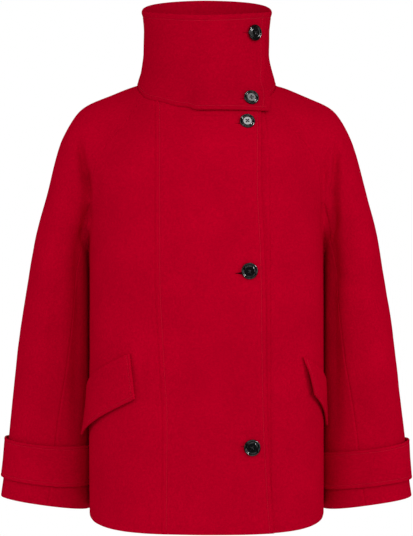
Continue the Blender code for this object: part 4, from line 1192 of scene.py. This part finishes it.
def spindles(centre, way, normal, long, radius):
    """Points and faces of a spindle of thread at each centre."""
    side = np.cross(way, normal)
    angle = np.linspace(0, 2 * np.pi, SPINDLE_SIDES, endpoint=False)[None, :, None]
    ring = np.cos(angle) * side[:, None] + np.sin(angle) * normal[:, None]
    rings = []
    for along, wide in SPINDLE:
        rings.append(centre[:, None] + way[:, None] * along * long + ring * radius * wide)
    points = np.stack(rings, 1)
    low_end = np.array(((0, 5, 4, 3), (3, 2, 1, 0)))
    high_end = (len(SPINDLE) - 1) * SPINDLE_SIDES + low_end[::-1, ::-1]
    # these rings run the other way round, so their quads are turned over
    walls = ring_quads(len(SPINDLE), SPINDLE_SIDES)[:, [0, 3, 2, 1]]
    faces = np.concatenate([walls, low_end, high_end])
    first = len(SPINDLE) * SPINDLE_SIDES * np.arange(len(centre))[:, None, None]
    return points.reshape(-1, 3), (faces[None] + first).reshape(-1, 4)


rows = [stitches(line, out) for line, out in threads if len(line) > 3]
centre, way, normal = (np.concatenate(values) for values in zip(*rows))
points, faces = spindles(centre, way, normal, STITCH_LONG, THREAD)
red_thread = plain_material("red_thread", "#C4102C", 0.6, 0.15)
piece("topstitching", mesh_from("topstitching", points, faces), red_thread)
print("stitches:", len(centre))

# %% [markdown]
# ## Buttons
# The buttons are black moulded polyester: a raised round rim, a groove inside it, and a flatter glossy
# middle with four holes and crossed thread. Each is a height over rings and angles: the profile gives the
# height at each radius, and four soft pits make the holes. The CAD button says where its middle and its
# axis are. The two small ones are made a little larger than the CAD's and turned towards the camera, as the
# photograph shows them.

# %% Button shape
# a row: radius in millimetres; share of the way that it turns to face the front; twist in degrees; and how
# far its own weight pulls it down on its shank, in millimetres. The two at the neck seam are small.
BUTTONS = {
    "button_1": (12.75, 0.00, 8, 0.0),
    "button_2": (11.80, 0.35, 50, 0.5),
    "button_3": (11.90, 0.35, 4, 1.2),
    "button_4": (12.75, 0.00, -6, 0.0),
    "button_5": (12.75, 0.00, 12, 0.0),
}
# the top's height in millimetres at shares of the radius
PROFILE = {"share":  (0.00, 0.54, 0.585, 0.62, 0.68, 0.74, 0.79, 0.84, 0.89, 0.94, 0.98, 1.00),
           "height": (2.60, 2.65, 2.50, 1.85, 1.60, 1.85, 2.60, 3.25, 3.50, 3.30, 2.75, 2.00)}
HOLE_AT, HOLE_WIDE, HOLE_DEEP = 0.19, 0.085, 1.9 * MM    # the first two as shares of the radius
BUTTON_THICK = 3.5 * MM
# shares of the radius, closer together where the holes are
BUTTON_RINGS = np.concatenate([np.linspace(0.0, 0.34, 22), np.linspace(0.36, 1.0, 42)])[1:]
BUTTON_AROUND = 96
PIT = (0.6 * HOLE_WIDE, 1.1 * HOLE_WIDE)     # distances from a hole's middle over which its pit comes up
# shares of the radius and heights in millimetres, from the side round to the flat back
BUTTON_UNDER = ((1.0, 1.3), (0.985, 0.7), (0.94, 0.25), (0.86, 0.0), (0.5, 0.0))
CROSSING_AT, CROSSING_THREAD = 2.75 * MM, 0.55 * MM      # height and radius of the thread between the holes
CROSSING_REACH = 0.8 * MM         # how far it goes on into the holes


def button_axis(name, lean=0.0, hangs=0.0):
    """Middle of the button's back and its axis, the direction in which the CAD button is thinnest. Buttons
    on a thread shank tilt about their middle: `lean` is the share by which this one turns to the front."""
    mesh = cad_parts[name].data
    points = np.zeros(len(mesh.vertices) * 3)
    mesh.vertices.foreach_get("co", points)
    points = points.reshape(-1, 3)
    middle = points.mean(0)
    axis = np.linalg.svd(points - middle, full_matrices=False)[2][2]
    axis = axis * (-1 if axis[1] > 0 else 1)
    high = ((points - middle) @ axis).max()
    axis = unit(axis * (1 - lean) + lean * np.array([0.0, -1.0, 0.0]))
    return middle + axis * (high - BUTTON_THICK) - np.array([0.0, 0.0, hangs]), axis


def frame_of(axis, twist):
    """Two directions across an axis, turned by `twist` from level."""
    across = unit(np.cross(np.array([0.0, 0.0, 1.0]), axis))
    up = np.cross(axis, across)
    cos, sin = math.cos(twist), math.sin(twist)
    return across * cos + up * sin, up * cos - across * sin


def button_mesh(name, base, axis, radius, twist):
    """Top face as height over (ring, angle), a rounded side and a flat back, closed."""
    def profile(share):
        return smooth(share, PROFILE["share"], PROFILE["height"]) * MM
    angle = np.linspace(0, 2 * np.pi, BUTTON_AROUND, endpoint=False)[None, :]
    cos, sin = np.cos(angle), np.sin(angle)
    share = BUTTON_RINGS[:, None]
    height = profile(BUTTON_RINGS)[:, None] + 0 * angle
    for k in range(4):
        corner = math.pi / 4 + k * math.pi / 2
        off = np.hypot(share * cos - HOLE_AT * math.cos(corner), share * sin - HOLE_AT * math.sin(corner))
        height = height - HOLE_DEEP * (1 - ease(off, *PIT))
    rings = [np.stack([share * radius * cos, share * radius * sin, height], -1)]
    for wide, level in BUTTON_UNDER:
        rings.append(np.stack([wide * radius * cos, wide * radius * sin, 0 * angle + level * MM], -1))
    rings = np.concatenate(rings)
    rows, columns = rings.shape[:2]
    x, y = frame_of(axis, twist)
    points = np.concatenate([rings.reshape(-1, 3), [[0, 0, profile(0.0)], [0, 0, 0]]])
    points = base + points[:, :1] * x + points[:, 1:2] * y + points[:, 2:] * axis
    first = np.arange(columns)
    after, last = np.roll(first, -1), (rows - 1) * columns
    top = np.stack([first, after, 0 * first + rows * columns], -1)
    low = np.stack([last + after, last + first, 0 * first + rows * columns + 1], -1)
    return mesh_from(name, points, ring_quads(rows, columns), top, low)


# %% Black buttons and their thread
black, tree, shader, place = new_material("black_polyester")
scuff = node(tree, "ShaderNodeTexNoise", links={"Vector": place}, Scale=1 / (3 * MM), Detail=3.0)
shine = node(tree, "ShaderNodeMapRange", links={"Value": scuff.outputs["Fac"]},
             From_Min=0.3, From_Max=0.7, To_Min=0.05, To_Max=0.11)
tree.links.new(shine.outputs["Result"], shader.inputs["Roughness"])
set_inputs(shader, Base_Color=linear("#060607"), IOR=1.56)
black_thread = plain_material("black_thread", "#18141A", 0.7)
crossings = []
for name, (radius, lean, twist, hangs) in BUTTONS.items():
    radius, twist = radius * MM, math.radians(twist)
    base, axis = button_axis(name, lean, hangs * MM)
    button = button_mesh("coat_" + name, base, axis, radius, twist)
    piece("coat_" + name, button, black, (name,))
    for way in frame_of(axis, twist + math.pi / 4):
        crossings.append((base + axis * CROSSING_AT, way, axis, 2 * HOLE_AT * radius + CROSSING_REACH))
    print(name, "base", np.round(base, 4), "axis", np.round(axis, 3))
centre, way, normal, long = (np.array(values) for values in zip(*crossings))
pairs = [spindles(centre[i:i + 1], way[i:i + 1], normal[i:i + 1], long[i], CROSSING_THREAD)
         for i in range(len(long))]
points = np.concatenate([p for p, _ in pairs])
faces = np.concatenate([f + i * len(pairs[0][0]) for i, (_, f) in enumerate(pairs)])
piece("button_thread", mesh_from("button_thread", points, faces), black_thread)

# %% [markdown]
# ## Buttonholes
# A buttonhole runs level from just under its button towards the middle front. It is cut through the cloth,
# and both of its lips are oversewn, so they stand up a little. When the button pulls on it, it gapes
# towards the button and closes at its far end. Cutting the cloth would split the face into many small
# cells, so the gap is a lens of painted shade, the dark inside the open slit, on the cloth's surface between
# two round lips.

# %% Slits and lips
# a row, in millimetres: how far left of the button's middle the slit ends, how far below it lies, and the
# gap's width
SLITS = {
    "button_1": (17.5, 0.8, 1.9),
    "button_2": (17.0, 2.6, 2.8),
    "button_3": (18.5, 4.2, 2.8),
    "button_4": (21.5, 3.4, 6.2),
    "button_5": (17.5, -2.4, 3.2),
}
SLIT_SAMPLES, SLIT_SIDES = 25, 10
LIP, LIP_HIGH = 0.55 * MM, 0.35 * MM
SLIT_PAST = 1.0 * MM              # how far the slit runs on past the button's middle
GAP_CLOSED = 0.12                 # share of the gap's width at its far end
GAP_OPENS = (0.0, 0.75)           # shares of its length over which it opens
GAP_PROUD, GAP_HIGH = 0.05 * MM, 0.22 * MM
LIP_END, LIP_OVER = 0.35, 0.7     # shares of a lip's thickness at its ends, and from its middle to the gap
cloth_seen = [BVHTree.FromObject(bpy.data.objects[name], bpy.context.evaluated_depsgraph_get())
              for name in ("right_front", "funnel_collar")]


def seen(x, z):
    """The place and normal of the cloth that the camera's side sees at (x, z)."""
    hits = [face.ray_cast((x, -1.0, z), (0.0, 1.0, 0.0)) for face in cloth_seen]
    place, normal = min((hit[:2] for hit in hits if hit[0] is not None), key=lambda hit: hit[0].y)
    return np.array(place), np.array(normal)


def tube(points, normal, wide, high):
    """A closed round strip along a line, with half widths across it and half heights off the cloth."""
    way = unit(np.gradient(points, axis=0))
    across = unit(np.cross(way, normal))
    angle = np.linspace(0, 2 * np.pi, SLIT_SIDES, endpoint=False)[None, :, None]
    ring = points[:, None] + np.cos(angle) * across[:, None] * wide[:, None, None]
    ring = ring + np.sin(angle) * normal[:, None] * high[:, None, None]
    tips = np.array([(first, first + i, first + i + 1) for first in (0, (len(points) - 1) * SLIT_SIDES)
                     for i in range(1, SLIT_SIDES - 1)])
    return ring.reshape(-1, 3), ring_quads(len(points), SLIT_SIDES), tips


# the gap's colour is painted shade: the dark of the open slit
shade = plain_material("buttonhole_shade", "#1E0006", 1.0, 0.0)
gaps, lips = [], []
t = np.linspace(0, 1, SLIT_SAMPLES)
opening = (GAP_CLOSED + (1 - GAP_CLOSED) * ease(t, *GAP_OPENS)) * np.sqrt(np.clip(4 * (1 - t), 0, 1))
taper = LIP_END + (1 - LIP_END) * np.sin(np.pi * np.clip(t, 0.02, 0.98)) ** 0.5
for name, (long, below, gap) in SLITS.items():
    base, _ = button_axis(name)
    x = base[0] - long * MM + (long * MM + SLIT_PAST) * t
    z = base[2] - below * MM + 0 * x
    points, normal = (np.array(values) for values in zip(*(seen(*at) for at in zip(x, z))))
    half = 0.5 * gap * MM * opening + GAP_PROUD
    gaps.append(tube(points + GAP_PROUD * normal, normal, half, GAP_HIGH + 0 * half))
    across = unit(np.cross(unit(np.gradient(points, axis=0)), normal))
    for way in (-1, 1):
        middle = points + way * across * (half + LIP_OVER * LIP)[:, None]
        lips.append(tube(middle, normal, LIP * taper, LIP_HIGH * taper))


def gathered(parts):
    """Several strips' points and faces as one set."""
    starts = np.cumsum([0] + [len(points) for points, _, _ in parts[:-1]])
    return (np.concatenate([points for points, _, _ in parts]),
            *(np.concatenate([part[k] + start for part, start in zip(parts, starts)]) for k in (1, 2)))


piece("buttonhole_gaps", mesh_from("buttonhole_gaps", *gathered(gaps)), shade)
piece("buttonhole_lips", mesh_from("buttonhole_lips", *gathered(lips)), wool)
print("buttonholes:", len(gaps))

# %% [markdown]
# ## Floor, light and camera
# Such a picture is taken in a white studio: soft boxes on both sides, in front and beside the camera, and
# white walls that fill the shadows. Dark flags keep the walls out of the glossy buttons, and small boxes
# give those their glints. The coat hangs at a wearer's height, so the floor is far below the picture. The
# camera stands three metres in front, level with the middle of the coat.

# %% Studio
NECK_ABOVE_FLOOR = 1.42
WALL_FILL = 0.47         # light from the white walls
WALLS_IN_BUTTONS = 0.15  # share of it that dark flags let the glossy buttons mirror
bpy.ops.mesh.primitive_circle_add(vertices=96, radius=1.5, fill_type="NGON",
                                  location=(0, 0, -NECK_ABOVE_FLOOR))
floor = bpy.context.object
floor.name = "studio_floor"
floor.data.materials.append(plain_material("pale_floor", "#F2F2F0", 0.8))

world = bpy.data.worlds.new("white_studio")
bpy.context.scene.world = world
world.use_nodes = True
tree = world.node_tree
background = tree.nodes["Background"]
background.inputs["Color"].default_value = (1, 1, 1, 1)
ray = node(tree, "ShaderNodeLightPath")
seen_white = node(tree, "ShaderNodeMapRange", links={"Value": ray.outputs["Is Camera Ray"]},
                  To_Min=WALL_FILL, To_Max=1.0)
unflagged = node(tree, "ShaderNodeMapRange", links={"Value": ray.outputs["Is Glossy Ray"]},
                 To_Min=1.0, To_Max=WALLS_IN_BUTTONS)
strength = node(tree, "ShaderNodeMath", {"operation": "MULTIPLY"},
                {0: seen_white.outputs["Result"], 1: unflagged.outputs["Result"]})
tree.links.new(strength.outputs[0], background.inputs["Strength"])


def softbox(name, place, size, power, aim=(0.0, 0.0, -0.28), in_buttons=True, on_cloth=True):
    """A rectangular soft light turned to the coat; flags may keep it out of the buttons or off the cloth."""
    light = bpy.data.lights.new(name, "AREA")
    light.shape, light.size, light.size_y, light.energy = "RECTANGLE", size[0], size[1], power
    thing = bpy.data.objects.new(name, light)
    thing.location = place
    way = np.array(aim) - np.array(place)
    thing.rotation_euler = (math.atan2(math.hypot(way[0], way[1]), -way[2]), 0, math.atan2(-way[0], way[1]))
    thing.visible_glossy, thing.visible_diffuse = in_buttons, on_cloth
    bpy.context.scene.collection.objects.link(thing)


softbox("left_box", (-2.85, -1.45, 0.20), (1.2, 1.8), 20)
softbox("right_box", (2.65, -1.70, 0.20), (1.0, 1.8), 25)
softbox("front_box", (0.15, -1.8, 0.45), (1.7, 0.4), 8, aim=(0.0, 0.0, -0.12))
softbox("camera_box", (0.0, -2.7, 0.12), (0.9, 0.4), 7, in_buttons=False)
# a high light on the right gives the buttons their glints, and the tilted ones mirror two small ones
softbox("glint_box", (2.2, -2.0, 1.0), (0.6, 0.7), 80, on_cloth=False)
softbox("lower_mirror_box", (0.64, -2.10, 2.10), (0.34, 0.34), 3.3, aim=(0.06, -0.11, -0.06))
softbox("upper_mirror_box", (1.18, -2.07, 1.91), (0.34, 0.34), 1.6, aim=(0.07, -0.09, -0.02))

# %% Camera and colour
camera = bpy.data.cameras.new("camera")
camera.sensor_width, camera.lens = 36.0, 125.9
eye = bpy.data.objects.new("camera", camera)
eye.location = (0.0, -3.0, -0.288)
eye.rotation_euler = (math.pi / 2, 0, 0)
bpy.context.scene.collection.objects.link(eye)
bpy.context.scene.camera = eye
bpy.context.scene.view_settings.view_transform = "Standard"
